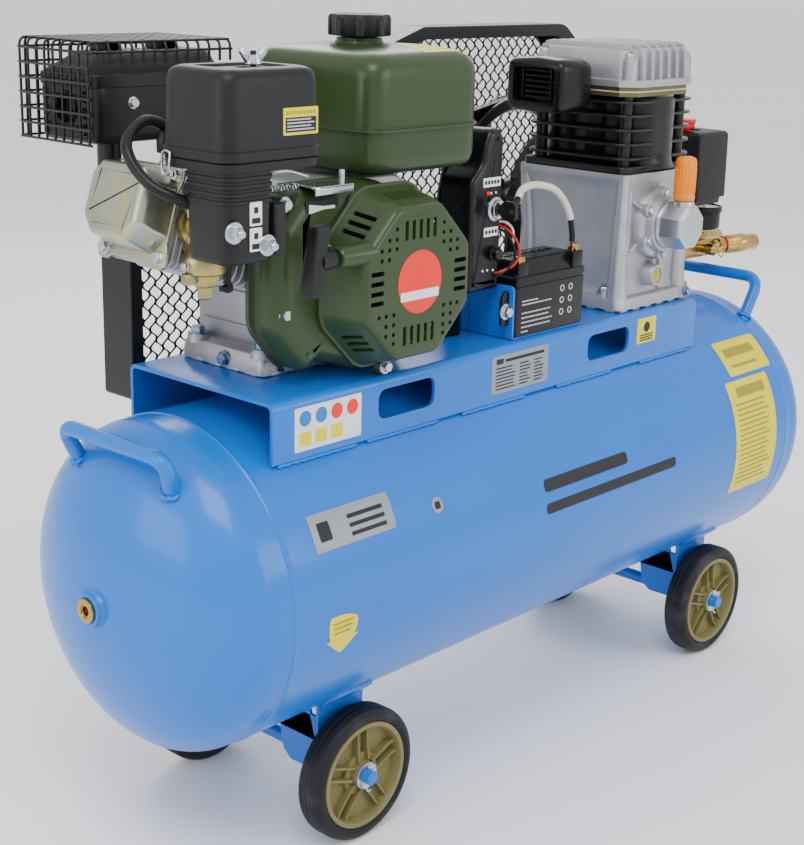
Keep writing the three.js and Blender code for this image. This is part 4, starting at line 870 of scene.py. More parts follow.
def make_recoil():
    """Recoil starter cover: vented face, tapered skirt with louvres and three fixing lugs."""
    face = octagon(74, 16)
    count = len(face)

    def blend(r, share):
        out = []
        for x, y in face:
            size = math.hypot(x, y)
            out.append((x * (1 - share + share * r / size), y * (1 - share + share * r / size)))
        return out

    front = -COVER_FACE
    spot = shift(ENGINE_X, 0, CRANK_Z) @ ALONG["-Y"]
    shell = Part("recoil_housing", GREEN, slot="green_paint", instead="recoil_cover", smooth=38)
    wide = [(x * 1.045, y * 1.045) for x, y in face]
    skirt = [(96.4, blend(97.5, 1)), (100.5, blend(97.5, 1)), (101.6, blend(95, 1)),
             (112, blend(92.5, 0.85)),
             (128, [(x * 1.11, y * 1.11) for x, y in face]),
             (138, [(x * 1.075, y * 1.075) for x, y in face]),
             (142.4, wide), (145.4, [(x * 1.035, y * 1.035) for x, y in face]),
             (147.6, [(x * 1.012, y * 1.012) for x, y in face]),
             (148.7, [(x * 0.985, y * 0.985) for x, y in face]),
             (149, [(x * 0.95, y * 0.95) for x, y in face])]
    shell.stack(skirt, spot)
    hollow = Part("cut", GREEN)
    hollow.stack([(90, blend(94, 1)), (100, blend(92, 1)), (112, blend(89, 0.85)),
                  (138, [(x * 1.02, y * 1.02) for x, y in face]),
                  (145.6, [(x * 0.97, y * 0.97) for x, y in face])], spot)
    shell.cut(hollow)
    holes = Part("cut", GREEN)
    deep = (front - 12, front + 4)
    for k in range(5):
        x = (k - 2) * 10.3
        for up in (-1, 1):
            holes.plate(oblong(x - 2.3, x + 2.3, up * 53 - 9.6, up * 53 + 9.6, 0.8, 2), *deep, spot)
    for k in range(4):
        z = (k - 1.5) * 9.8
        for side in (-1, 1):
            holes.plate(oblong(side * 61 - 9, side * 61 + 9, z - 2.3, z + 2.3, 0.8, 2), *deep, spot)
    upper = ((34.5, 56), (34.5, 46), (45, 46), (34.5, 36.5), (45, 36.5), (55.5, 36.5), (45, 27), (55.5, 27))
    lower = ((37, -29), (48, -29), (58, -29), (37, -39), (48, -39), (37, -49), (48, -49), (37, -58))
    for side in (-1, 1):
        for x, z in upper + lower:
            holes.plate(ring(2.3, side * x, z, 14), *deep, spot)
    for angle in (135, 45, -45, -135):
        for k in range(3):
            local = spot @ turn(angle, "Z") @ shift(0, (k - 1) * 11, 0)
            holes.box(66, 110, -2.6, 2.6, 108, 134, 0.5, 1, local)
    for k in range(7):
        for angle in (90, -90, 0):
            local = spot @ turn(angle, "Z") @ shift(0, (k - 3) * 6.5, 0)
            holes.box(66, 110, -1.1, 1.1, 112, 132, 0.3, 1, local)
    shell.cut(holes)
    for angle in (158, 22, -90):
        local = spot @ turn(angle, "Z")
        shell.stack([(96.4, ring(10, 96, 0, 32)), (103, ring(9.6, 96, 0, 32)),
                     (104, ring(8.8, 96, 0, 32))], local)
    guide = shift(-374, GRIP[1], GRIP[2]) @ ALONG["X"]
    shell.turned([(4.4, 0), (9.4, 0), (10.6, 1.4), (10.8, 8), (12.5, 34), (14, 44), (4.4, 44)], guide, 40,
                 True)

    screws = Part("recoil_screws", STEEL, slot="bright_steel")
    for angle in (158, 22, -90):
        spin = math.radians(angle)
        at = (ENGINE_X + 96 * math.cos(spin), -103.8, CRANK_Z + 96 * math.sin(spin))
        screws.hex(at, "-Y", 10, 4.8, 8, 1.4)

    badge = Part("recoil_badge", RED_LABEL, slot="red_plastic", smooth=20)
    badge.plate(ring(32, n=72), front - 0.5, front + 0.45, spot, 0.15)
    band = Part("recoil_badge_band", WHITE, smooth=20)
    band.plate([(x, y - 13) for x, y in oblong(-28, 28, -4.6, 4.6, 1)], front + 0.3, front + 0.65, spot)

    # The reel is a real part; its near-black colour is painted shade of the cover's inside, seen through
    # the vents
    reel = Part("recoil_reel", INSIDE_SHADE)
    reel.turned([(0, 100.6), (62, 100.6), (64, 104), (64, 124), (40, 134), (0, 138)], spot, 64)
    fan = Part("blower_fan", IRON, "engine_crank", "black_iron", "cooling_fan")
    fan.turned([(10, 56), (60, 58), (88, 60), (90, 62), (90, 66), (88, 68), (10, 68)], spot, 72, True)
    fan.turned([(29, 66), (33, 66), (33, 99), (32.4, 100), (29, 100)], spot, 48, True)
    for k in range(16):
        local = spot @ turn(22.5 * k, "Z")
        blade = [(50 + 11 * j, 2.2 * j * j / 3 - 3, 0) for j in range(4)]
        rows = []
        for x, y, _ in blade:
            rows.append([(x, y - 1.3, 67), (x, y + 1.3, 67), (x, y + 1.1, 88.6), (x, y - 1.1, 88.6)])
        fan.grid(rows, local)

    x, y, z = GRIP
    grip = Part("recoil_grip_bar", PLASTIC, "recoil_grip", "black_plastic", "recoil_handle", smooth=40)
    rows = ((-34, 6, 5), (-33, 8, 7), (-29, 9.4, 7.8), (-12, 8.2, 7.2), (0, 7.8, 7), (14, 8.4, 7.2),
            (28, 9.8, 7.8),
            (32.6, 8.4, 7), (34, 6, 5))
    grip.stack([(dz, [(u + dz * 0.16, v) for u, v in oblong(-a, a, -b, b, 2.6, 4)]) for dz, a, b in rows],
               shift(x, y, z))
    grip.turned([(3.2, 4), (9.2, 4), (9.8, 8), (9.4, 19), (8, 24), (6.6, 25.6), (3.2, 25.6)],
                shift(x, y, z) @ ALONG["X"], 36, True)
    rope = Part("recoil_cord", RUBBER, "recoil_grip", "black_rubber", "recoil_rope")
    twist = []
    for k in range(60):
        twist.append((x + 4 + 2 * k, y, z))
    rope.tube(twist, [2.7 + 0.15 * math.sin(k * 2.1) for k in range(60)], 12)


def make_fuel_tank():
    (x0, x1), (y0, y1), (z0, z1) = FUEL["x"], FUEL["y"], FUEL["z"]
    seam = FUEL["seam"]

    def level(d, r=26):
        return oblong(x0 + d, x1 - d, y0 + d, y1 - d, r, 8)

    tank = Part("petrol_tank", GREEN, slot="tank_green", instead="fuel_tank", smooth=50)
    tank.stack([(z0 + 0.4, level(20, 18)), (z0 + 1.5, level(14, 20)), (z0 + 4, level(9, 22)),
                (z0 + 8, level(5.5, 24)),
                (z0 + 14, level(3.4)), (z0 + 20, level(3)), (seam, level(3)), (z1 - 20, level(3)),
                (z1 - 12, level(3.8)), (z1 - 6, level(6)), (z1 - 1, level(10, 25)),
                (z1 + 2.6, level(15.5, 24)),
                (z1 + 5.2, level(24, 22)), (z1 + 7.6, level(38, 18)), (z1 + 9.2, level(56, 12)),
                (z1 + 9.6, level(74, 6))])
    tank.plate(level(0, 28), seam - 1.6, seam + 1.6, NO_TURN, 0.7)
    tank.plate(level(1.6, 27), seam + 1.5, seam + 3.2, NO_TURN, 0.6)
    tank.turned([(20, z1 + 4), (27, z1 + 7), (26, z1 + 9.6), (24.4, z1 + 12), (24, 836.2), (21, 836.4)],
                shift(CAP_X, 0, 0), 56, True)

    cap = Part("filler_cap", PLASTIC, "cap", "black_plastic", "fuel_cap", smooth=40)

    def lobed(r, depth, n=128):
        out = []
        for k in range(n):
            a = 2 * math.pi * k / n
            wave = max(0.0, math.cos(8 * a)) ** 0.6
            size = r - depth + depth * wave
            out.append((size * math.cos(a), size * math.sin(a)))
        return out

    cap.stack([(838.2, lobed(31.4, 2.2)), (839, lobed(33, 3.2)), (856, lobed(33, 3.2)),
               (858.6, lobed(32, 2.4)),
               (860, lobed(30, 1.2)), (860.2, lobed(27.5, 0.2)), (859.4, lobed(26, 0)),
               (859.2, lobed(12, 0)),
               (860.4, lobed(9, 0)), (860.6, lobed(4, 0))], shift(CAP_X, 0, 0))

    label = Part("tank_top_label", YELLOW, smooth=30)
    drape(label, tank, (-196, -126), (-82, -40), 12, 8, 0.3)
    for k in range(4):
        ink = Part(f"tank_top_label_line_{k}", OLIVE_INK)
        drape(ink, tank, (-190, -134), (-76 + 9 * k, -73.4 + 9 * k), 10, 2, 0.42)


def drape(part, target, xs, ys, nx, ny, lift):
    """Thin sheet laid from above on another part."""
    tree = BVHTree.FromBMesh(target.bm)
    rows = []
    for i in range(nx + 1):
        x = xs[0] + (xs[1] - xs[0]) * i / nx
        line = []
        for j in range(ny + 1):
            y = ys[0] + (ys[1] - ys[0]) * j / ny
            hit = tree.ray_cast(Vector((x, y, 2000)), Vector((0, 0, -1)))
            line.append((x, y, hit[0].z + lift))
        rows.append(line)
    sheet_of(part, rows, (0, 0, -0.25))


def sheet_of(part, rows, back):
    """Closed thin sheet: a grid of points and the same grid moved back."""
    back = Vector(back)
    nx, ny = len(rows), len(rows[0])
    edge = [rows[i][0] for i in range(nx)] + [rows[-1][j] for j in range(1, ny)]
    edge += [rows[i][-1] for i in range(nx - 2, -1, -1)] + [rows[0][j] for j in range(ny - 2, 0, -1)]
    part.grid(rows, wrap=False, caps=False)
    under = [[Vector(p) + back for p in row] for row in rows]
    part.grid(under, wrap=False, caps=False)
    part.grid([edge, [Vector(p) + back for p in edge]], wrap=True, caps=False)
    bmesh.ops.remove_doubles(part.bm, verts=part.bm.verts, dist=1e-4)


def make_air_cleaner():
    (x0, x1), (y0, y1), (z0, z1) = AIR_X, AIR_Y, AIR_Z

    def level(d, r=20):
        return oblong(x0 + d, x1 - d, y0 + d, y1 - d, r, 8)

    cover = Part("filter_cover", PLASTIC, slot="black_plastic", instead="air_cleaner_cover", smooth=40)
    cover.stack([(z0 + 0.3, level(1)), (z0 + 1.2, level(0)), (z0 + 9.4, level(0)), (z0 + 10, level(1.2)),
                 (z1 - 14, level(2.4)), (z1 - 8, level(3.2)), (z1 - 4, level(5, 19)),
                 (z1 - 1.4, level(8.4, 18)),
                 (z1 - 0.2, level(12.5, 16)), (z1, level(17, 14)), (z1 - 0.4, level(22, 12)),
                 (z1 - 2.8, level(24, 10)),
                 (z1 - 3, level(29, 8)), (z1 - 2.6, level(40, 6))])
    dish = Part("cut", PLASTIC)
    dish.stack([(z1 - 7, ring(14, *STUD, 40)), (z1 + 1, ring(19, *STUD, 40)),
                (z1 + 3, ring(20, *STUD, 40))])
    cover.cut(dish)

    body = Part("filter_housing", PLASTIC, slot="black_plastic", instead="air_cleaner_body", smooth=36)
    body.stack([(z0 - 9, level(3, 18)), (z0 - 8.4, level(1.6, 19)), (z0 - 0.8, level(1.2, 19)),
                (z0 - 0.1, level(2, 19))])

    def low(d, r=16):
        return oblong(LOW_X[0] + d, LOW_X[1] - d, LOW_Y[0] + d, LOW_Y[1] + 6 - d, r, 8)

    steps = [(LOW_Z[0], low(9, 10)), (LOW_Z[0] + 0.6, low(5.5, 12)), (LOW_Z[0] + 2.6, low(3.2, 14)),
             (LOW_Z[0] + 6, low(2.4)), (706, low(1.6))]
    z, d = 706.0, 1.6
    for _ in range(4):
        steps += [(z + 0.8, low(d - 0.9)), (z + 3.6, low(d - 0.9)), (z + 4.2, low(d)), (z + 6.6, low(d))]
        z, d = z + 6.9, d - 0.25
    steps += [(LOW_Z[1] + 2, low(d))]
    body.stack(steps)
    body.turned([(11, 0), (18.6, 0), (18.6, 14), (20, 15), (20, 20), (11, 20)],
                shift(CARB_X, -102, 674) @ ALONG["Y"], 48, True)
    body.turned([(0, z0 - 4), (2.9, z0 - 4), (2.9, z1 + 11), (2.4, z1 + 12), (0, z1 + 12)],
                shift(*STUD, 0), 20)
    body.box(-462.5, -448, -146, -118, 656, 704, 3, 3)
    body.box(-458, -450, -140, -124, 662, 690, 2, 2)

    nuts = Part("filter_housing_nuts", STEEL, slot="bright_steel")
    nuts.hex((-513, -147.4, 683), "-Y", 10, 7, 10, 2, 4)
    nuts.hex((-474, -147.4, 668), "-Y", 10, 7, 10, 2, 4)
    clip = Part("filter_clip", STEEL, slot="bright_steel")
    path = [(-526.5, -78, 747), (-527.5, -78, 736), (-526, -78, 729), (-526, -68, 729), (-527.5, -68, 736),
            (-526.5, -68, 747)]
    clip.tube(smooth_line(path, 6, True), 1.1, 8, True)
    clip.box(-526.6, -524, -81, -65, 726, 731, 0.6)

    icon = Part("filter_labels", WHITE)
    for z in (664, 687):
        icon.xz(oblong(-494.5, -480.5, z, z + 21, 0.8, 2), LOW_Y[0] + 0.6, LOW_Y[0] + 1.5)
    marks = Part("filter_label_marks", INK)
    for z in (664, 687):
        marks.xz(oblong(-492.5, -482.5, z + 2, z + 7, 0.8, 2), LOW_Y[0] + 0.4, LOW_Y[0] + 0.7)
        marks.xz(oblong(-490, -485, z + 11, z + 16.5, 0.8, 2), LOW_Y[0] + 0.4, LOW_Y[0] + 0.7)
    yellow = Part("cover_label", YELLOW)
    yellow.xz([oblong(-457, -408.5 - 6, 764, 788, 1.4, 3)], y0 + 1.2, y0 + 2.6)
    ink = Part("cover_label_text_block", INK)
    ink.xz([oblong(-454.5, -417, 766.4, 779.5, 0.6, 2)], y0 + 1.0, y0 + 1.4)
    lines = Part("cover_label_lines", PALE_INK)
    for k in range(4):
        lines.xz([oblong(-453, -419.5 - 4 * (k % 2), 768.1 + 2.9 * k, 769.4 + 2.9 * k, 0.3, 1)], y0 + 0.8,
                 y0 + 1.2)
    lines = Part("cover_label_heading", OLIVE_INK)
    for k in range(9):
        lines.xz([oblong(-453.5 + 4.1 * k, -450.9 + 4.1 * k, 782, 785, 0.3, 1)], y0 + 0.95, y0 + 1.4)

    nut = Part("filter_wing_nut", STEEL, "filter_nut", "bright_steel", "wing_nut")
    nut.turned([(3.2, 0.4), (8, 0.4), (8, 2), (6.4, 6), (6, 8.4), (3.2, 8.4)], shift(*STUD, z1), 32, True)
    for s in (-1, 1):
        wing = rounded([(s * 4, 0.8), (s * 9, 1.4), (s * 17, 11), (s * 15.5, 16), (s * 10, 14), (s * 4, 7)],
                       [0, 3, 3, 2.5, 3, 0], 4)
        nut.plate(wing, -1.3, 1.3, shift(*STUD, z1) @ ALONG["-Y"], 0.7)


def make_carburettor():
    carb = Part("carburettor_casting", CARB_ZINC, slot="zinc_steel", instead="carburettor", smooth=36)
    spot = shift(CARB_X, CARB_Y, 0)
    carb.turned([(0, 630), (17, 630), (20.6, 632), (21.6, 635), (21.6, 646), (20.6, 648), (18, 650),
                 (16, 656),
                 (14, 662), (0, 662)], spot, 48)
    carb.turned([(11, -82), (17.4, -82), (18.6, -80.6), (18.6, -76), (16.4, -74), (16.4, -60), (20, -58),
                 (20, -50.8),
                 (11, -50.8)], shift(CARB_X, 0, 674) @ ALONG["Y"], 48, True)
    carb.box(CARB_X - 14, CARB_X + 21, -62, -50.8, 650, 698, 2.5, 3)
    carb.box(CARB_X + 12, CARB_X + 28, -76, -58, 656, 690, 2.5, 3)
    carb.turned([(0, 618), (10, 618), (12, 620), (15, 629), (15, 631), (0, 631)], spot, 6)
    carb.turned([(0, 606.4), (6, 606.4), (7, 607.4), (7, 618.4), (0, 618.4)], spot, 6)
    carb.box(CARB_X - 25, CARB_X - 12, CARB_Y - 5, CARB_Y + 5, 622, 633, 1.5, 2)
    screws = Part("carburettor_screws", STEEL, slot="bright_steel")
    screws.hex((CARB_X - 21.5, CARB_Y, 640), "-X", 7, 3.5, 5, 1)
    screws.hex((CARB_X + 20, -76, 682), "-Y", 6, 3, 5, 1)
    choke = Part("choke_arm", PLASTIC, "choke", "black_plastic", "choke_lever")
    px, py = -450, -66.25
    choke.plate(oblong(px - 4.5, px + 30, py - 3.8, py + 3.8, 3.6, 5), 663.5, 667, NO_TURN, 0.8)
    choke.box(px + 18, px + 30, py - 3.8, py + 3.8, 662, 671, 1.4, 2)
    choke.turned([(0, 655), (3, 655), (3, 671), (2.2, 672), (0, 672)], shift(px, py, 0), 20)

    tap = Part("fuel_tap_arm", PLASTIC, "fuel_tap", "black_plastic", "fuel_tap_lever")
    tap.yz(rounded([(-70, 608), (-62, 608), (-62.6, 636), (-69.4, 636)], [3.6, 3.6, 3, 3], 5), -452.4,
           -447.8, 1)
    tap.turned([(0, 0), (4.6, 0), (4.6, 4), (3, 5), (3, 12), (0, 12)], shift(-446, -66, 613) @ ALONG["-X"],
               24)

    plate = Part("throttle_plate", STEEL, "throttle", "bright_steel", "throttle_lever")
    plate.plate(rounded([(-372, -100), (-366, -104), (-318, -104), (-318, -92), (-340, -72), (-366, -70)],
                        [3, 3, 3, 4, 8, 6], 4), 703.1, 705.3, NO_TURN, 0.5)
    plate.box(-336.4, -330.6, -103.6, -99.4, 704, 720, 1.6, 3)
    plate.box(-371, -319, -104, -102.4, 697, 705, 0.5)
    wire = Part("throttle_link", STEEL, slot="bright_steel")
    wire.tube(smooth_line([(-376, -98, 716), (-400, -92, 722), (-430, -84, 716), (-452, -76, 700),
                           (-462, -72, 692)], 8),
              1.2, 8)
    spring = [(-376 + 0.6 * k, -91 + 3 * math.cos(k), 711 + 3 * math.sin(k)) for k in range(70)]
    wire.tube([(x - 40, y + 8, z - 6) for x, y, z in spring], 0.6, 6)


def make_muffler():
    (x0, x1), (y0, y1), (z0, z1) = CAN_X, CAN_Y, CAN_Z
    tail = shift(x0, 98, 771) @ ALONG["-X"]

    def level(left, side, r=13.0):
        return oblong(x0 + left, x1 - 1, y0 + side, y1 - side, r, 6)

    can = Part("silencer_box", BLACK_PAINT, slot="black_paint", instead="muffler", smooth=36)
    can.stack([(z0, level(6, 6, 9)), (z0 + 1.6, level(2, 2, 12)), (z0 + 5, level(0.4, 0.4)),
               (z0 + 9, level(0, 0)),
               (SHOULDER - 2, level(0, 0)), (SHOULDER, level(1, 1)), (z1 - 3, level(25, 19, 11)),
               (z1 - 1, level(28, 22, 10)), (z1, level(32, 26, 8))])
    cuts = Part("cut", BLACK_PAINT)
    for k in range(7):
        z = z0 + 8 + 7.8 * k
        cuts.box(x0 - 3, x0 + 2.4, y1 - 19, y1 - 8, z, z + 3, 0.6, 1)
        cuts.box(x0 - 3, x0 + 2.4, y0 + 9, y0 + 16, z, z + 3, 0.6, 1)
    for y, z in ((y0 + 22, z0 + 56), (y1 - 26, z0 + 56)):
        cuts.turned([(0, -3), (1.4, -3), (1.4, 3), (0, 3)], shift(x0, y, z) @ ALONG["-X"], 16)
    cuts.turned([(0, -8), (15, -8), (15, 8), (0, 8)], tail, 48)
    for k in range(11):
        cuts.box(x0 + 18 + 13 * k, x0 + 26 + 13 * k, y0 - 3, y0 + 2, SHOULDER - 9, SHOULDER - 5.4, 0.6, 1)
    can.cut(cuts)
    can.turned([(13.6, -7), (13.6, 1.6), (14.4, 2), (16.6, 2), (17, 1.4), (17, -3), (15, -7)], tail, 48,
               True)
    can.turned([(0, -7.4), (14, -7.4), (14, -6.4), (0, -6.4)], tail, 40)
    can.grid([[(x, y, z) for x, y in level(d, d)] for d, z in
              ((0, SHOULDER - 13), (-1.2, SHOULDER - 12.4), (-1.2, SHOULDER - 2), (0, SHOULDER - 1))])
    pipe = bent_line([(-472, 42.3, 674), (-472, 82, 674), (-472, 82, 744)], 26, 12)
    can.tube(pipe, 12, 24)
    can.box(-490, -454, 42.3, 49, 654, 694, 2, 2)
    screws = Part("silencer_screws", STEEL, slot="bright_steel")
    for x in (-462, -362):
        screws.hex((x, y0 + 0.6, z0 + 38), "-Y", 8, 4, 6, 1)
    screws.hex((-484, 48.6, 660), "Y", 10, 5, 7.6, 1.4)
    screws.hex((-460, 48.6, 688), "Y", 10, 5, 7.6, 1.4)


def make_cage():
    (x0, x1), (y0, y1), (z0, z1) = CAGE_X, CAGE_Y, CAGE_Z
    w = 1.5
    cage = Part("silencer_cage_wires", BLACK_PAINT, slot="black_paint", instead="muffler_cage", smooth=60)
    left, right, front, back = x0 + w, x1 - w, y0 + w, y1 - w
    low, top, skirt = z0 + w, z1 - w, z1 - 22

    def wire(points):
        cage.tube(bent_line(points, 8, 4), 1.35, 8)

    for k in range(13):
        x = left + 9 + (right - left - 9) * k / 12
        wire([(x, front, skirt), (x, front, top), (x, back, top), (x, back, low - 1.4)])
    for k in range(9):
        y = front + 4 + (back - front - 8) * k / 8
        wire([(left, y, low - 1.4), (left, y, top), (right + 1.4, y, top)])
    for k in range(7):
        z = low + (top - low - 9) * k / 6
        start = [(right + 1.4, front - 1.3, z), (left - 1.2, front - 1.3, z)] if z > skirt else \
            [(left - 1.2, front - 1.4, z)]
        wire(start + [(left - 1.2, back + 1.3, z), (right + 1.4, back + 1.3, z)])
    for x in (-470, -400):
        cage.box(x, x + 15, 84, 112, z1 - 14, z1 - 2.4, 0.6)
        cage.box(x, x + 15, 84, 87, z1 - 16, z1 - 2.4, 0.6)
    cage.box(-420, -400, y1 - 27, y1 - w, 784, 787, 0.6)


def make_hose():
    hose = Part("breather_tube", RUBBER, slot="black_rubber", instead="breather_hose", smooth=60)
    hose.tube(smooth_line(HOSE, 8), 5.4, 24)
    hose.turned([(0, 736), (9.2, 736), (9.6, 738), (9.6, 748), (8.2, 752), (7.4, 756), (6.2, 758),
                 (0, 758)],
                shift(-470, CYLINDER_Y, 0), 36)
    end = shift(-512, -84, 704) @ Vector((20, -5, -6)).to_track_quat("Z", "Y").to_matrix().to_4x4()
    hose.turned([(5, -4), (7.4, -4), (7.8, -2), (7.8, 4), (7.2, 6), (5, 6)], end, 32, True)


# ---------------------------------------------------------------- electrics

KEY_AT = (-72, 653)
BATTERY_X, BATTERY_Y = (-50, 77), (-100, -35)
CABLE = ((-55, -93, 644), (-49, -93, 660), (-30, -86, 672), (4, -80, 673), (34, -84, 664), (54, -88, 640),
         (62, -89, 614), (63, -89, 603))


def make_panel():
    shape = rounded([(-113, 561), (-57, 561), (-57, 728), (-63, 741), (-82, 741), (-90, 722), (-95, 702),
                     (-113, 686)],
                    [8, 6, 12, 9, 12, 14, 20, 18], 7)
    panel = Part("switch_panel", GLOSS_PLASTIC, slot="black_plastic", instead="control_panel", smooth=36)
    panel.stack([(36, inset(shape, 2)), (36.6, inset(shape, 1)), (70, shape), (75, inset(shape, 0.6)),
                 (78, inset(shape, 2)), (79.6, inset(shape, 4)), (80, inset(shape, 6.5)),
                 (79.2, inset(shape, 8)),
                 (79.2, inset(shape, 12))], ALONG["-Y"])
    panel.box(-101, -73, -38, -34, DECK, 600, 1)
    panel.box(-101, -73, -38, -16, DECK, DECK + 3, 1)
    panel.hex((-87, -26, DECK + 2.8), "Z", 10, 5, 8, 1.4)
    knob = shift(-71, 0, 603) @ ALONG["-Y"]
    panel.turned([(0, 79), (8.6, 79), (8.6, 83), (7.4, 84), (6.6, 89), (5.8, 90), (0, 90)], knob, 28)
    lock = Part("key_lock_ring", STEEL, slot="bright_steel")
    spot = shift(KEY_AT[0], 0, KEY_AT[1]) @ ALONG["-Y"]
    lock.turned([(5.2, 78), (13.6, 78), (14, 79.4), (13.4, 82.6), (11, 84), (10.4, 87.6), (9.8, 88),
                 (5.2, 88)], spot, 48,
                True)
    key = Part("key_with_bow", PLASTIC, "key", "black_plastic", "ignition_key")
    key.turned([(0, 72), (4.7, 72), (4.7, 90), (0, 90)], spot, 24)
    bow = rounded([(-89, 648), (-89, 658), (-96, 664), (-109, 664), (-112, 660), (-112, 646), (-109, 642),
                   (-96, 642)],
                  [2, 2, 5, 4, 3, 3, 4, 5], 5)
    key.yz([bow, ring(2.6, -107, 653, 20)], KEY_AT[0] - 3.2, KEY_AT[0] + 3.2, 1.4, 3)
    signs = Part("panel_labels", WHITE)
    signs.xz(oblong(-92, -63, 678, 688, 0.8, 2), -80.1, -79)
    signs.xz(oblong(-88, -64, 623, 633, 0.8, 2), -80.1, -79)
    for x, z in ((-88, 585), (-80, 585), (-70, 584), (-78, 671), (-70, 671)):
        signs.xz(ring(1.3, x, z, 14), -80, -79)
    marks = Part("panel_label_marks", INK)
    for k in range(5):
        marks.xz(oblong(-90 + 5.2 * k, -86.4 + 5.2 * k, 681, 685, 0.3, 1), -80.4, -80)
    for k in range(4):
        marks.xz(oblong(-86.4 + 5.4 * k, -82.6 + 5.4 * k, 626, 630, 0.3, 1), -80.4, -80)
    lamp = Part("panel_lamp", RED, slot="red_plastic")
    lamp.turned([(0, 79), (2.6, 79), (2.6, 80.6), (1.6, 82), (0, 82.4)], shift(-84, 0, 671) @ ALONG["-Y"],
                20)
    for name, finish_of, path in (
            ("panel_wire_red", RED_WIRE,
             [(-63, -78, 634), (-58, -88, 630), (-47, -94, 616), (-43, -95, 600),
                                          (-50, -92, 588), (-62, -84, 582), (-66, -78, 580)]),
            ("panel_wire_black", RUBBER,
             [(-64, -78, 631), (-59, -87, 626), (-50, -91, 612), (-47, -92, 598),
                                          (-54, -90, 586), (-64, -83, 578), (-68, -78, 574)]),
            ("panel_wire_pale", SLEEVE,
             [(-62, -78, 638), (-57, -86, 637), (-50, -90, 628), (-49, -90, 612)])):
        Part(name, finish_of, slot="cable_sleeve", smooth=60).tube(smooth_line(path, 6), 1.5, 10)


def make_battery():
    (x0, x1), (y0, y1) = BATTERY_X, BATTERY_Y

    def level(d, r=3.5):
        return oblong(x0 + d, x1 - d, y0 + d, y1 - d, r, 4)

    base = DECK + 2.5
    case = Part("battery_case", GLOSS_PLASTIC, slot="black_plastic", instead="battery", smooth=34)
    case.stack([(base, level(1.6)), (base + 1, level(0.6)), (base + 3, level(0.3)), (563, level(0)),
                (563.6, level(1)),
                (565.4, level(1)), (566, level(-0.2)), (573.4, level(-0.2)), (574.4, level(0.8)),
                (575, level(2.4)),
                (576, level(3)), (588, level(9)), (590.6, level(10)), (591.6, level(11.4)),
                (592, level(14))])
    case.box(x1 - 23, x1 - 4, y0 + 1, y0 + 17, 573, 593, 1.4, 3)
    case.box(x0 + 4, x0 + 22, y0 + 2, y0 + 17, 573, 590, 1.4, 3)
    for k in range(6):
        case.turned([(0, 591), (5.6, 591), (5.6, 592.6), (4.8, 593), (0, 593)],
                    shift(-24 + 15 * k, -62, 0), 24)
    posts = Part("battery_terminals", BRASS, slot="brass")
    posts.box(57, 69, y0 + 5, y0 + 13, 592, 601.6, 1)
    posts.hex((63, y0 + 5.4, 597), "-Y", 8, 3, 0)
    posts.box(-43, -31, y0 + 5, y0 + 13, 589, 597, 1)
    tray = Part("battery_tray_sheet", BLUE, slot="blue_paint", instead="battery_tray")
    tray.box(x0 - 3.3, x1 + 3, y0 + 2, y1 + 22, DECK, base - 0.2, 0.6)
    tray.yz(rounded([(y0 + 2, DECK), (y1 + 22, DECK), (y1 + 22, 548), (y1 + 2, DECK + 62),
                     (y0 + 2, DECK + 62)],
                    [1, 1, 8, 8, 6], 5), x0 - 3.3, x0 - 0.3, 0.6)
    tray.box(x0 - 3.3, x1 + 3, y1 + 0.4, y1 + 3.4, DECK, DECK + 40, 0.6)
    clamp = Part("battery_clamp", BLACK_PAINT, slot="black_paint")
    clamp.xz(rounded([(-66, 520), (-51.5, 520), (-51.5, 556), (-58, 562), (-66, 552)], [5, 2, 3, 5, 6], 4),
             -92, -88, 0.8)
    bolt = Part("battery_clamp_bolt", STEEL, slot="bright_steel")
    bolt.hex((-60, -92, 537), "-Y", 11, 6, 9.5, 1.6)
    ink = Part("battery_print", PALE_INK)
    rng = random.Random(11)
    for k in range(7):
        z = 556 - 5.4 * k if k > 1 else 559 - 4 * k
        reach = (28, 50, 50, 46, 56, 52, 12)[k]
        x = -40
        while x < -40 + reach:
            w = rng.uniform(2.6, 6.5)
            ink.xz(oblong(x, x + w, z - 13, z - 11.4, 0.2, 1), y0 - 0.35, y0 + 0.6)
            x += w + 1.1
    for col in (34, 50):
        for z in (553, 539, 525):
            ink.xz([ring(4, col, z, 16), ring(2.6, col, z, 16)], y0 - 0.35, y0 + 0.6)
    cable = Part("battery_lead", SLEEVE, slot="cable_sleeve", instead="battery_cable", smooth=60)
    route = smooth_line(CABLE, 8)
    cable.tube(route[10:44], 4.1, 18)
    ends = Part("battery_lead_ends", RUBBER, slot="black_rubber", smooth=60)
    ends.tube(route[:12], 3.4, 16)
    ends.tube(route[42:], 3.5, 16)


# ---------------------------------------------------------------- pump

PUMP_X, PUMP_SIDE, PUMP_DEPTH = 232, (154, 311), (-98, 72)
BREATHER_Y = -130
HEAD_X, HEAD_Y = (154, 288), (-98, 62)


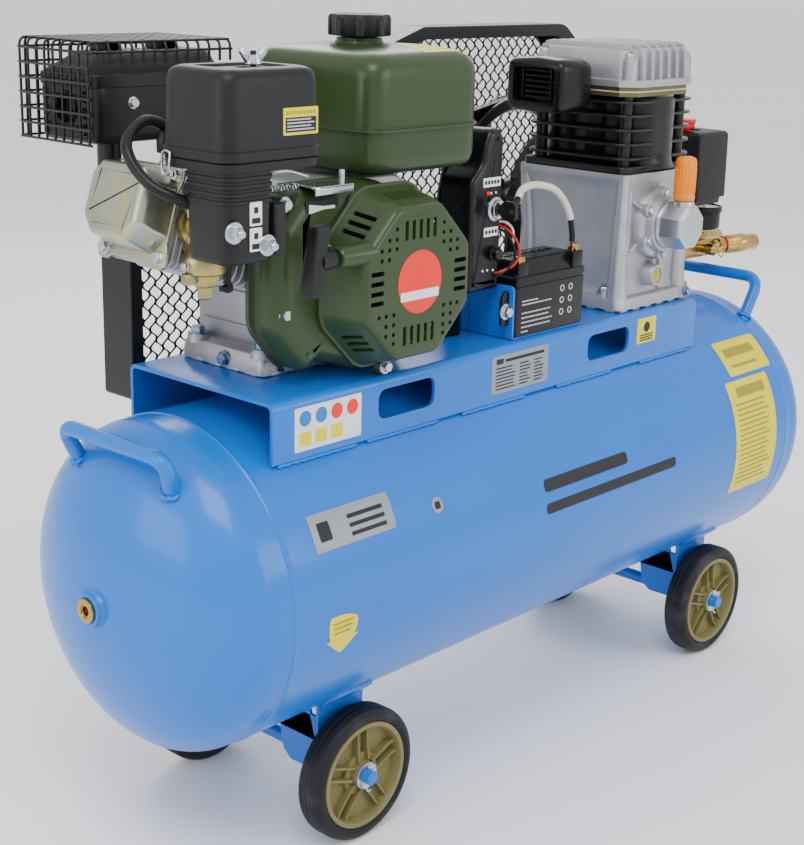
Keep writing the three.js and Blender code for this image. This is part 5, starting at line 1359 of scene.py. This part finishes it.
def make_pump():
    (x0, x1), (y0, y1) = PUMP_SIDE, PUMP_DEPTH

    def level(d, r):
        return oblong(x0 + d, x1 - d, y0 + d, y1 - d, r, 7)

    case = Part("crankcase_casting", CAST, slot="cast_aluminium", instead="pump_crankcase", smooth=40)
    case.stack([(DECK + 2, level(0.8, 12)), (DECK + 3, level(0, 12)), (DECK + 12, level(0.8, 12)),
                (DECK + 15.6, level(1.8, 12)), (DECK + 17, level(4, 11)), (DECK + 17.6, level(8, 10))])
    case.stack([(DECK + 15, level(8, 16)), (DECK + 20, level(11.5, 16)), (DECK + 30, level(13, 16)),
                (600, level(12, 16)), (650, level(8, 14)), (662, level(4, 12)), (667, level(2, 10)),
                (672, level(2, 10))])
    for sx in (x0, x1):
        for sy in (y0, y1):
            dx, dy = (1 if sx == x0 else -1), (1 if sy == y0 else -1)
            rows = []
            for z, r, d in ((DECK + 14, 13, 14), (DECK + 40, 11.5, 14.5), (600, 9, 13.5), (650, 7.5, 10.5),
                            (671, 7, 9)):
                rows.append((z, ring(r, sx + dx * d, sy + dy * d, 28)))
            case.stack(rows)
            case.turned([(0, DECK + 12), (11, DECK + 12), (10.4, DECK + 20), (9.6, DECK + 20.6),
                         (0, DECK + 20.6)],
                        shift(sx + dx * 13, sy + dy * 32, 0), 28)
    for k in range(6):
        case.box(x0 + 6 + 26 * k, x0 + 20 + 26 * k, y0, y1, DECK, DECK + 5, 1)
    for k in range(6):
        case.box(x0, x1, y0 + 8 + 27 * k, y0 + 22 + 27 * k, DECK, DECK + 5, 1)
    spot = shift(PUMP_X, 0, CRANK_Z) @ ALONG["-Y"]
    case.turned([(0, 80), (44, 80), (43, 96), (41.5, 98), (36, 100), (34.5, 106), (33.6, 109), (32, 110),
                 (0, 110)],
                spot, 72)
    for k in range(6):
        local = spot @ turn(60 * k + 30, "Z")
        case.stack([(84, ring(8, 38, 0, 24)), (103, ring(7.4, 38, 0, 24)), (104, ring(6.4, 38, 0, 24))],
                   local)
        case.box(30, 62, -2, 2, 84, 94, 1, 2, local)
    case.turned([(12.6, -92), (39, -92), (40, -90), (41, -60), (12.6, -60)], spot, 64, True)
    case.turned([(9.8, 84), (14.5, 84), (13.6, 101), (12.8, 102), (9.8, 102)],
                shift(PUMP_X - 4, 0, 543) @ ALONG["-Y"],
                48, True)
    case.box(PUMP_X + 18, PUMP_X + 25, -90, -80, 520, 640, 3, 3)
    case.box(PUMP_X - 58, PUMP_X - 51, -91, -80, 530, 650, 3, 3)
    glass = Part("sight_glass", SIGHT, slot="brass")
    glass.turned([(0, 92), (9.8, 92), (9.8, 100.4), (7, 101.6), (0, 102)],
                 shift(PUMP_X - 4, 0, 543) @ ALONG["-Y"], 40)
    bolts = Part("pump_fixings", BLUED, slot="zinc_steel")
    for x, y in ((x0 + 13, y0 + 32), (x1 - 13, y0 + 32), (x0 + 13, y1 - 32), (x1 - 13, y1 - 32)):
        bolts.hex((x, y, DECK + 20.3), "Z", 12, 6, 10, 1.6, 4)
    bolts.hex((x1 - 8, y0 - 0.3, DECK + 9), "-Y", 9, 4, 6.5, 1.2)
    silver = Part("pump_cover_screws", STEEL, slot="bright_steel")
    for k in range(6):
        a = math.radians(60 * k + 30)
        silver.hex((PUMP_X + 38 * math.cos(a), -103.8, CRANK_Z + 38 * math.sin(a)), "-Y", 8, 4.4, 0)

    def deck(d, r):
        return oblong(x0 + d, x1 - d, y0 + 2 + d, y1 - 2 - d, r, 7)

    barrel = Part("cylinder_casting", IRON, slot="black_iron", instead="pump_cylinder", smooth=40)
    barrel.plate(deck(3, 16), 672.3, 681, NO_TURN, 2)
    for y in (-54, 28):
        barrel.turned([(0, 676), (50, 676), (46, 682), (45, 690), (45, 760), (0, 760)],
                      shift(PUMP_X, y, 0), 56)
    barrel.box(198, 266, -60, 34, 676, 762, 3)
    for z in (688, 705, 722, 739, 755):
        twin = rounded([(x0 + 2, y0 + 4), (x1 - 2, y0 + 4), (x1 - 2, y1 - 4), (x0 + 2, y1 - 4)], 34, 9)
        barrel.plate(twin, z, z + 3.4, NO_TURN, 1.2, 3)
    for y in (-76, 50):
        for x in (x0 + 22, x1 - 22):
            barrel.turned([(0, 676), (7.5, 676), (7.5, 764), (0, 764)], shift(x, y, 0), 24)

    def head_shape(d, chamfer=20.0):
        (a, b), (c, e) = HEAD_X, HEAD_Y
        k = chamfer - 0.6 * d
        return rounded([(a + d + k, c + d), (b + 12 - d - k, c + d), (b + 12 - d, c + d + k),
                        (b + 12 - d, e - d - k),
                        (b + 12 - d - k, e - d), (a + d + k, e - d), (a + d, e - d - k),
                        (a + d, c + d + k)], 3, 3)

    plate = Part("valve_plates", BRONZE, slot="cast_aluminium")
    plate.plate(head_shape(5), 763.6, 768.6, NO_TURN, 0.5)
    plate.plate(head_shape(5.4), 770.2, 775.6, NO_TURN, 0.5)
    gasket = Part("valve_plate_gasket", SLEEVE)
    gasket.plate(head_shape(5.8), 768.4, 770.4)

    head = Part("cylinder_head_casting", CAST, slot="cast_aluminium", instead="pump_head", smooth=34)
    head.stack([(775.3, head_shape(0.4)), (776.2, head_shape(0)), (783, head_shape(0)),
                (783.6, head_shape(0.8)),
                (784, head_shape(8, 22)), (812, head_shape(9, 22)), (817, head_shape(10, 22)),
                (818.6, head_shape(12, 22)), (819, head_shape(15, 22))])
    for k in range(6):
        x = 180 + 17.5 * k
        head.yz(rounded([(-97, 780), (-84, 780), (-84, 819), (-94, 819)], [1, 0, 0, 3], 4), x - 2, x + 2,
                0.9)
        head.yz(rounded([(61, 780), (48, 780), (48, 819), (58, 819)], [1, 0, 0, 3], 4), x - 2, x + 2, 0.9)
    for k in range(6):
        y = -72 + 21.5 * k
        head.xz(rounded([(299, 780), (286, 780), (286, 819), (296, 819)], [1, 0, 0, 3], 4), y - 2, y + 2,
                0.9)
    for k in range(7):
        x = 172 + 18.5 * k
        top = rounded([(-84, 815), (50, 815), (46, 823), (36, 825), (-70, 825), (-80, 823)],
                      [0, 0, 3, 5, 5, 3], 4)
        head.yz(top, x - 2.2, x + 2.2, 0.9)
    for x, y in ((170, -82), (284, -82), (170, 46), (284, 46), (170, -18), (284, -18)):
        head.turned([(0, 782), (9.6, 782), (9.2, 806), (8.4, 807), (0, 807)], shift(x, y, 0), 32)
        head.hex((x, y, 806.8), "Z", 12, 6, 8.6, 1.4)
    head.turned([(6, -8), (13, -8), (12, 8), (6, 8)], shift(294, 44, 793) @ ALONG["X"], 32, True)
    head.turned([(0, 0), (14, 0), (14, 16), (0, 16)], shift(142, -8, 786) @ ALONG["X"], 32)

    filt = Part("intake_filter_box", GLOSS_PLASTIC, slot="black_plastic", instead="pump_intake_filter",
                smooth=40)

    def face(d, r=14):
        return rounded([(-50 + d, 745 + d), (35 - d, 745 + d), (35 - d, 806 - d), (-8, 809 - d),
                        (-50 + d, 806 - d)],
                       [r, r, r, 60, r], 8)

    filt.stack([(80.6, face(5, 11)), (81.4, face(3.4, 12)), (83.4, face(1.4, 13)), (87, face(0)),
                (128, face(0)),
                (138, face(2)), (142, face(4, 12)), (143.5, face(8, 9))], ALONG["X"])
    mouth = Part("cut", GLOSS_PLASTIC)
    mouth.stack([(70, oblong(-40, 25, 755, 798, 6, 5)), (84, oblong(-38, 23, 757, 796, 5, 5)),
                 (98, oblong(-38, 23, 757, 796, 5, 5))], ALONG["X"])
    filt.cut(mouth)
    for k in range(6):
        z = 761 + 6.2 * k
        filt.xz([(88, z), (97.5, z + 2.6), (97.5, z + 4.4), (88, z + 1.8)], -38, 23, 0.3)
    filt.box(86, 97.5, -29.5, -27.5, 757, 796, 0.5)
    filt.box(86, 97.5, 12.5, 14.5, 757, 796, 0.5)

    crank = Part("pump_crank_parts", STEEL, "pump_crank", "bright_steel", "pump_crankshaft")
    crank.turned([(0, -98), (12, -98), (12, 157), (11, 158), (0, 158)],
                 shift(PUMP_X, 0, CRANK_Z) @ ALONG["Y"], 40)
    crank.turned([(0, -44), (36, -44), (36, -32), (0, -32)], shift(PUMP_X, 0, CRANK_Z) @ ALONG["Y"], 48)
    crank.turned([(0, 6), (36, 6), (36, 18), (0, 18)], shift(PUMP_X, 0, CRANK_Z) @ ALONG["Y"], 48)

    cap = Part("bearing_cover", CAST_FINE, slot="cast_aluminium", instead="bearing_cap", smooth=24)
    cap.turned([(0, 110.3), (30, 110.3), (30.6, 111.4), (30.6, 114), (30, 115), (0, 115)], spot, 64)
    sides = octagon(26.5, 0)
    cap.stack([(114, [(x * 1.04, y * 1.04) for x, y in sides]), (140, sides),
               (144, [(x * 0.93, y * 0.93) for x, y in sides]),
               (146, [(x * 0.82, y * 0.82) for x, y in sides])], spot)
    cap.turned([(0, 612), (12.8, 612), (13.4, 636), (12.6, 639), (11, 640), (0, 640)],
               shift(PUMP_X, BREATHER_Y, 0), 40)
    breather = Part("breather_cap", ORANGE, slot="orange_plastic", instead="oil_breather", smooth=40)
    breather.turned([(0, 640.4), (12.4, 640.4), (13, 642), (13.2, 646), (12.6, 647), (12.8, 676),
                     (13, 684), (12.4, 689),
                     (10.6, 692), (7, 693.4), (0, 693.8)], shift(PUMP_X, BREATHER_Y, 0), 48)
    for k in range(20):
        local = shift(PUMP_X, BREATHER_Y, 0) @ turn(18 * k, "Z")
        breather.box(12.2, 13.3, -0.9, 0.9, 650, 680, 0.4, 1, local)


# ---------------------------------------------------------------- belt drive and guard

BELT_Y = 141
PULLEY_R, WHEEL_RIM = 48, 138
GUARD_Y = (113.5, 163)
GUARD_SHAPE = ((-426, 458), (388, 458), (388, 700), (360, 790), (298, 838), (20, 838), (-130, 790),
               (-330, 690),
               (-426, 690))
GUARD_CORNERS = (6, 6, 34, 34, 34, 30, 40, 40, 14)
MESH_PITCH, MESH_RISE, STRAND = 8.6, 21.0, 1.3


def make_drive():
    spot = shift(ENGINE_X, BELT_Y, CRANK_Z) @ ALONG["Y"]
    pulley = Part("drive_pulley", IRON, "engine_crank", "black_iron", "engine_pulley")
    groove = [(48, 10), (47.4, 11), (44, 11), (42, 8), (24, 8), (22, 11), (9.8, 11), (9.8, -11), (22, -11),
              (24, -8),
              (42, -8), (44, -11), (47.4, -11), (48, -10), (48, -7.6), (37, -6), (37, 6), (48, 7.6)]
    pulley.turned(groove, spot, 72, True)
    spot = shift(PUMP_X, BELT_Y, CRANK_Z) @ ALONG["Y"]
    wheel = Part("fan_flywheel", IRON, "pump_crank", "black_iron", "pump_flywheel", smooth=36)
    rim = [(138, 11), (137, 12), (124, 12), (121, 9), (119, 4), (119, -4), (121, -9), (124, -12),
           (137, -12), (138, -11),
           (138, -7.6), (127, -6.1), (127, 6.1), (138, 7.6)]
    wheel.turned(rim, spot, 120, True)
    wheel.turned([(12.4, -14), (26, -14), (28, -12), (30, -4), (30, 4), (28, 14), (26, 16), (12.4, 16)],
                 spot, 56, True)
    for k in range(5):
        spine = []
        for j in range(9):
            r = 26 + 97 * j / 8
            a = math.radians(72 * k + 26 * (j / 8) ** 1.3)
            spine.append((r * math.cos(a), r * math.sin(a), 0))
        rows = []
        for j, p in enumerate(spine):
            q, o = spine[min(j + 1, 8)], spine[max(j - 1, 0)]
            d = Vector((q[0] - o[0], q[1] - o[1], 0)).normalized()
            side = Vector((-d.y, d.x, 0)) * (15 - 3.4 * math.sin(math.pi * j / 8))
            twist = Vector((0, 0, 4.4))
            thick = Vector((0, 0, 2.6))
            c = Vector(p)
            rows.append([c - side - twist - thick, c + side + twist - thick, c + side + twist + thick,
                         c - side - twist + thick])
        wheel.grid(rows, spot)
    belt = Part("v_belt", RUBBER, slot="black_rubber", instead="drive_belt", smooth=50)
    small, large, span = PULLEY_R - 5.5, WHEEL_RIM - 5.5, PUMP_X - ENGINE_X
    lean = math.asin((large - small) / span)
    loop = []
    tangent = math.pi / 2 + lean
    for k in range(49):
        a = -tangent + 2 * tangent * k / 48
        loop.append((PUMP_X + large * math.cos(a), BELT_Y, CRANK_Z + large * math.sin(a)))
    for k in range(25):
        a = tangent + (2 * math.pi - 2 * tangent) * k / 24
        loop.append((ENGINE_X + small * math.cos(a), BELT_Y, CRANK_Z + small * math.sin(a)))
    rows = []
    for i, p in enumerate(loop):
        p = Vector(p)
        d = (Vector(loop[(i + 1) % len(loop)]) - Vector(loop[i - 1])).normalized()
        out = Vector((0, 1, 0)).cross(d)
        rows.append([p + out * u + Vector((0, v, 0)) for u, v in
                     ((4.7, -5.8), (4.7, 5.8), (4.0, 6.2), (-4.4, 4.2), (-4.8, 3.6), (-4.8, -3.6),
                      (-4.4, -4.2),
                      (4.0, -6.2))])
    belt.grid(rows, close=True)


def inside(x, y, loop):
    found = False
    for (ax, ay), (bx, by) in zip(loop, loop[1:] + loop[:1]):
        if (ay > y) != (by > y) and x < (bx - ax) * (y - ay) / (by - ay) + ax:
            found = not found
    return found


def make_guard():
    shape = rounded(list(GUARD_SHAPE), list(GUARD_CORNERS), 8)
    y0, y1 = GUARD_Y
    guard = Part("guard_frame", BLACK_PAINT, slot="black_paint", instead="belt_guard", smooth=40)
    outer, inner = shape, inset(shape, 2)
    lip, back_lip = inset(shape, 15), inset(shape, 17)
    section = [(inset(shape, 1), y0), (outer, y0 + 1), (outer, y1 - 1), (inset(shape, 1), y1),
               (back_lip, y1),
               (back_lip, y1 - 2), (inner, y1 - 2), (inner, y0 + 2), (lip, y0 + 2), (lip, y0)]
    guard.grid([[(x, y, z) for x, z in loop] for loop, y in section], close=True)
    for x in (-300, 40):
        guard.box(x - 15, x + 15, PLATE_HALF + 0.3, y0 + 1, 459, 472, 0.6)
    seam_x = -6
    guard.box(seam_x - 1, seam_x + 16, y0 + 1, y1 - 1, 458.4, 460, 0.4)
    bolts = Part("guard_fixings", STEEL, slot="bright_steel")
    for x in (-300, 40):
        bolts.hex((x, y0 + 2.2, 465), "Y", 8, 4, 6, 1)
    mesh = Part("guard_expanded_mesh", BLACK_PAINT, slot="black_paint", smooth=60)
    bound = inset(shape, 11)
    lows, highs = 458 + 8, 838
    y = y1 - 4.2
    steps = 10
    count = int((388 + 426) / MESH_PITCH)
    for k in range(count):
        x_k = -422 + MESH_PITCH * k
        sign = 1 if k % 2 else -1
        run = []
        z = lows
        while z <= highs + MESH_RISE / steps:
            t = 2 * math.pi * (z - lows) / MESH_RISE
            x = x_k + sign * MESH_PITCH / 2 * math.cos(t) + 2.1 * math.sin(t)
            if inside(x, z, bound):
                run.append((x, y + 0.7 * sign * math.sin(t), z))
            elif run:
                break
            z += MESH_RISE / steps
        if len(run) > 2:
            rows = [[(x - STRAND, v - 0.6, z), (x + STRAND, v - 0.6, z), (x + STRAND, v + 0.6, z),
                     (x - STRAND, v + 0.6, z)]
                    for x, v, z in run]
            mesh.grid(rows)


# ---------------------------------------------------------------- air outlet

RISER_X, DISCHARGE_X = 432, 372
GAUGE_AT = (482, -4)
SWITCH_X, SWITCH_Y = (418, 492), (-32, 32)
COUPLER_AT, COUPLER_TILT = (500, 12, 537), 14.3
PIPE = ((300, 44, 793), (345, 44, 793), (372, 44, 760), (372, 10, 640), (372, 0, 520), (372, 0, 490))


def make_outlet():
    (x0, x1), (y0, y1) = SWITCH_X, SWITCH_Y

    def level(d, r=6):
        return oblong(x0 + d, x1 - d, y0 + d, y1 - d, r, 5)

    box = Part("pressure_switch_cover", PLASTIC, slot="black_plastic", instead="pressure_switch", smooth=36)
    box.stack([(601, level(6, 4)), (609, level(5, 4)), (610, level(1)), (611, level(0)), (694, level(0.8)),
               (697.6, level(2)), (699.4, level(4.4)), (700, level(8))])
    box.turned([(0, 596), (12, 596), (12, 602), (0, 602)], shift(RISER_X + 8, 0, 0), 32)
    box.turned([(0, 0), (10, 0), (10, 8), (8.6, 9), (7, 16), (0, 16)], shift(x1 - 3, 0, 622) @ ALONG["X"],
               28)
    box.turned([(0, 699), (9, 699), (8.4, 702), (0, 702)], shift(x0 + 36, 4, 0), 28)
    knob = Part("unloader_button", RED, "unloader", "red_plastic", "switch_knob", smooth=40)
    knob.turned([(0, 684), (5, 684), (5, 703.6), (10.4, 703.9), (11, 705), (11, 711), (12, 712),
                 (12.2, 715), (11.6, 716),
                 (0, 716)], shift(x0 + 12, 0, 0), 40)

    brass = Part("outlet_block", BRASS, slot="brass", instead="outlet_manifold", smooth=34)
    top = TANK_Z + TANK_R
    brass.turned([(0, top - 7), (10, top - 7), (10, 526), (0, 526)], shift(RISER_X, 0, 0), 32)
    brass.hex((RISER_X, 0, top + 7.4), "Z", 27, 12)
    brass.box(RISER_X - 14, 506, -15, 15, 525, 549, 3, 3)
    brass.turned([(0, 546), (9, 546), (9, 595.6), (0, 595.6)], shift(RISER_X + 8, 0, 0), 32)
    brass.hex((RISER_X + 8, 0, 549), "Z", 22, 8)
    brass.hex((RISER_X + 8, 0, 583), "Z", 22, 10)
    brass.turned([(0, 546), (6, 546), (6, 561.6), (0, 561.6)], shift(*GAUGE_AT, 0), 24)
    brass.hex((*GAUGE_AT, 551), "Z", 13, 7)
    for side in (-1, 1):
        x, y, z = COUPLER_AT
        local = shift(x, side * y, z) @ turn(side * COUPLER_TILT, "Z") @ ALONG["X"]
        brass.turned([(0, 0), (8.6, 0), (8.6, 30), (0, 30)], local, 32)
        brass.stack([(8, ring(11.6, n=6)), (17, ring(11.6, n=6))], local)
        sleeve = [(8, 20), (12, 20), (12.6, 21)]
        for k in range(8):
            z = 22 + 3 * k
            sleeve += [(12.7, z), (13.2, z + 0.5), (13.2, z + 1.6), (12.5, z + 2.2)]
        sleeve += [(12.2, 48), (13.2, 50), (13.2, 58), (12.4, 60), (11.4, 66), (11.2, 80), (10.4, 81.8),
                   (7.4, 81.8),
                   (7.2, 70), (0, 70)]
        brass.turned([(0, 20)] + sleeve, local, 56)
        ring_part = Part(f"coupler_ring_{'front' if side < 0 else 'back'}", RED, slot="red_plastic")
        ring_part.turned([(8, 17), (10.4, 17), (10.4, 19.8), (8, 19.8)], local, 40, True)

    gauge = Part("gauge_case", GLOSS_PLASTIC, slot="black_plastic", instead="pressure_gauge", smooth=36)
    gauge.turned([(0, 562), (8, 562), (20, 563), (23.2, 565), (24, 568), (24, 586), (26, 587), (26, 594),
                  (25.2, 595),
                  (23, 595), (22.4, 592.6), (0, 592.4)], shift(*GAUGE_AT, 0), 64)
    dial = Part("gauge_dial", DIAL)
    dial.turned([(0, 592.3), (22.2, 592.3), (22.2, 592.9), (0, 592.9)], shift(*GAUGE_AT, 0), 48)
    marks = Part("gauge_marks", INK)
    for k in range(21):
        a = 225 - 13.5 * k
        long = 4.6 if k % 5 == 0 else 2.6
        marks.box(20.6 - long, 20.6, -0.25, 0.25, 592.7, 593.1, 0, 1, shift(*GAUGE_AT, 0) @ turn(a, "Z"))
    marks.box(-4, 16, -0.4, 0.4, 592.7, 593.3, 0, 1, shift(*GAUGE_AT, 0) @ turn(225, "Z"))
    marks.turned([(0, 592.7), (2, 592.7), (1.8, 593.6), (0, 593.6)], shift(*GAUGE_AT, 0), 20)

    pipe = Part("delivery_pipe", CAST_FINE, slot="cast_aluminium", instead="discharge_pipe", smooth=50)
    pipe.tube(bent_line(PIPE, 34, 12), 7, 24)
    pipe.hex((302.4, 44, 793), "X", 25, 12)
    pipe.turned([(0, 0), (11, 0), (11, 6), (8, 8), (0, 8)], shift(314.4, 44, 793) @ ALONG["X"], 32)
    for k in range(9):
        spine = Vector((372, 26 - 2.2 * k, 700 - 7.7 * k))
        direction = Vector((0, -34, -120)).to_track_quat("Z", "Y").to_matrix().to_4x4()
        pipe.turned([(6.8, -0.6), (15, -0.6), (15, 0.6), (6.8, 0.6)],
                    Matrix.Translation(spine) @ direction, 32, True)
    valve = Part("check_valve", BRASS, slot="brass")
    valve.turned([(0, top - 7), (10, top - 7), (10, 510), (0, 510)], shift(DISCHARGE_X, 0, 0), 32)
    valve.hex((DISCHARGE_X, 0, top + 7.4), "Z", 29, 16)
    valve.hex((DISCHARGE_X, 0, 506), "Z", 21, 10)
    relief = Part("relief_valve", BRASS, slot="brass")
    relief.turned([(0, 0), (6, 0), (6, 8), (8, 9), (8, 20), (5, 24), (0, 24)],
                  shift(470, -14, 537) @ ALONG["-Y"], 28)
    relief.tube([(470 + 7 * math.cos(a), -46,
                  537 + 7 * math.sin(a)) for a in (2 * math.pi * k / 24 for k in range(24))],
                1, 8, True)


# ---------------------------------------------------------------- plain labels


def on_tank(part, rows, lift, columns=6):
    """Sheet on the near side of the tank from rows of (height, left end, right end)."""
    grid = []
    for i in range(columns + 1):
        line = []
        for z, a, b in rows:
            r = TANK_R + lift
            up = z - TANK_Z
            line.append((a + (b - a) * i / columns, -math.sqrt(r * r - up * up), z))
        grid.append(line)
    sheet_of(part, grid, (0, 0.3, 0))


def slab(z0, z1, x0, x1, steps=10, corner=2.0):
    rows = [(z0, x0 + corner, x1 - corner),
            (z0 + (corner if z1 > z0 else -corner) * 0.6, x0 + 0.4, x1 - 0.4)]
    for k in range(1, steps):
        rows.append((z0 + (z1 - z0) * k / steps, x0, x1))
    rows += [(z1 + (corner if z1 < z0 else -corner) * 0.6, x0 + 0.4, x1 - 0.4),
             (z1, x0 + corner, x1 - corner)]
    return rows


def make_labels():
    plates = Part("tank_plate", GREY_LABEL, smooth=50)
    on_tank(plates, slab(362, 396, -423, -310), 0.5)
    disc = [(369 + 8 * math.sin(a), -245 - 8 * math.cos(a) - 0.01, -245 + 8 * math.cos(a) + 0.01)
            for a in (math.radians(-90 + 15 * k) for k in range(13))]
    on_tank(plates, disc, 0.5)
    ink = Part("tank_plate_marks", INK, smooth=50)
    on_tank(ink, slab(371, 388, -414, -398, 6, 0.5), 0.85, 2)
    for k in range(3):
        on_tank(ink, slab(368 + 8 * k, 371.6 + 8 * k, -372, -322, 2, 0.4), 0.85, 4)
    on_tank(ink, slab(365.4, 372.6, -249, -241, 4, 0.6), 0.85, 2)
    yellow = Part("tank_yellow_labels", YELLOW, smooth=50)
    arrow = [(296, -414, -398), (294, -415, -388), (290, -416, -378), (284, -416, -376), (276, -415, -377),
             (270, -413, -379), (269.5, -418, -373), (264, -411, -381), (258, -404, -388),
             (253, -397, -394)]
    on_tank(yellow, arrow, 0.5)
    on_tank(yellow, slab(397, 435, 353, 454, 6, 3), 0.5)
    on_tank(yellow, slab(245, 392, 333, 435, 26, 3), 0.5)
    text = Part("tank_label_lines", OLIVE_INK, smooth=50)
    rng = random.Random(7)
    for k in range(3):
        on_tank(text, slab(287 - 5.5 * k, 289 - 5.5 * k, -411 + k, -382 - 2 * k, 1, 0.3), 0.85, 2)
    on_tank(text, slab(418, 427, 366, 436, 3, 0.5), 0.85, 3)
    on_tank(text, slab(406, 409, 366, 428, 1, 0.3), 0.85, 3)
    on_tank(text, slab(372, 384, 352, 420, 3, 0.5), 0.85, 3)
    for k in range(17):
        z = 365 - 6.6 * k
        on_tank(text, slab(z - 2.2, z, 343, 343 + rng.uniform(64, 84), 1, 0.3), 0.85, 4)
    stripes = Part("tank_stripes", INK, smooth=50)
    on_tank(stripes, slab(343, 357, -70, 90, 4, 3), 0.5, 6)
    on_tank(stripes, slab(318, 330, -70, 190, 4, 3), 0.5, 6)

    face = -PLATE_HALF
    white = Part("platform_label", WHITE)
    white.xz(oblong(-403, -310, 448, 493, 1.5, 3), face - 0.45, face + 0.4)
    dots_blue = Part("platform_label_blue_dots", BLUE)
    dots_red = Part("platform_label_red_dots", RED_LABEL)
    for k in range(4):
        target = dots_blue if k < 2 else dots_red
        target.xz(ring(8, -389 + 22 * k, 481, 28), face - 0.8, face)
    squares = Part("platform_label_squares", YELLOW)
    for k in range(3):
        squares.xz(oblong(-397 + 22 * k, -381 + 22 * k, 453, 467, 1, 2), face - 0.8, face)
    grey = Part("platform_plate", GREY_LABEL)
    grey.xz(oblong(-102, 0, 450, 494, 1.5, 3), face - 0.45, face + 0.4)
    lines = Part("platform_plate_lines", INK)
    lines.xz(oblong(-94, -82, 484, 490, 0.5, 2), face - 0.75, face)
    lines.xz(oblong(-78, -8, 485, 488.4, 0.4, 1), face - 0.75, face)
    for k in range(7):
        for a, b in ((-94, -58), (-52, -32), (-26, -8)):
            lines.xz(oblong(a, b - rng.uniform(0, 8), 478.6 - 4 * k, 480 - 4 * k, 0.2, 1), face - 0.75,
                     face)
    small = Part("platform_yellow_label", YELLOW)
    small.xz(oblong(180, 220, 463, 495, 1.2, 3), face - 0.45, face + 0.4)
    marks = Part("platform_yellow_label_mark", INK)
    marks.xz(ring(6.5, 200, 483, 28), face - 0.75, face)
    for k in range(3):
        marks.xz(oblong(186, 214, 466 + 3.2 * k, 467.6 + 3.2 * k, 0.3, 1), face - 0.75, face)
    tag = Part("housing_label", INK, smooth=20)
    tag.xz(oblong(-376, -332, 676, 691, 1, 3), SHROUD_FRONT + 0.2, SHROUD_FRONT + 1.2)
    bar = Part("housing_label_bar", WHITE, smooth=20)
    bar.xz(rounded([(-372, 679), (-352, 682), (-337, 682), (-337, 685), (-352, 685), (-372, 688)], 1, 2),
           SHROUD_FRONT - 0.2, SHROUD_FRONT + 0.4)


# ---------------------------------------------------------------- assembly


def make_floor():
    floor_mesh = bpy.data.meshes.new("floor")
    reach = 30
    floor_mesh.from_pydata([(-reach, -reach, 0), (reach, -reach, 0), (reach, reach, 0), (-reach, reach, 0)],
                           [], [(0, 1, 2, 3)])
    floor = bpy.data.objects.new("floor", floor_mesh)
    floor_mesh.materials.append(FLOOR)
    bpy.context.scene.collection.objects.link(floor)


FLOOR = finish("pale_floor", (0.94, 0.94, 0.94, 1), 0.75, 0.01, blotch=1.5, rough_vary=0.03,
               grain=(300, 0.02, 0.0002))

MAKERS = (
    make_camera,
    make_studio,
    make_tank,
    make_platform,
    make_handles,
    make_running_gear,
    make_engine_block,
    make_shroud,
    make_recoil,
    make_fuel_tank,
    make_air_cleaner,
    make_carburettor,
    make_muffler,
    make_cage,
    make_hose,
    make_panel,
    make_battery,
    make_pump,
    make_drive,
    make_guard,
    make_outlet,
    make_labels,
    make_floor,
)

for make in MAKERS:
    make()
for part in list(PARTS):
    part.done()
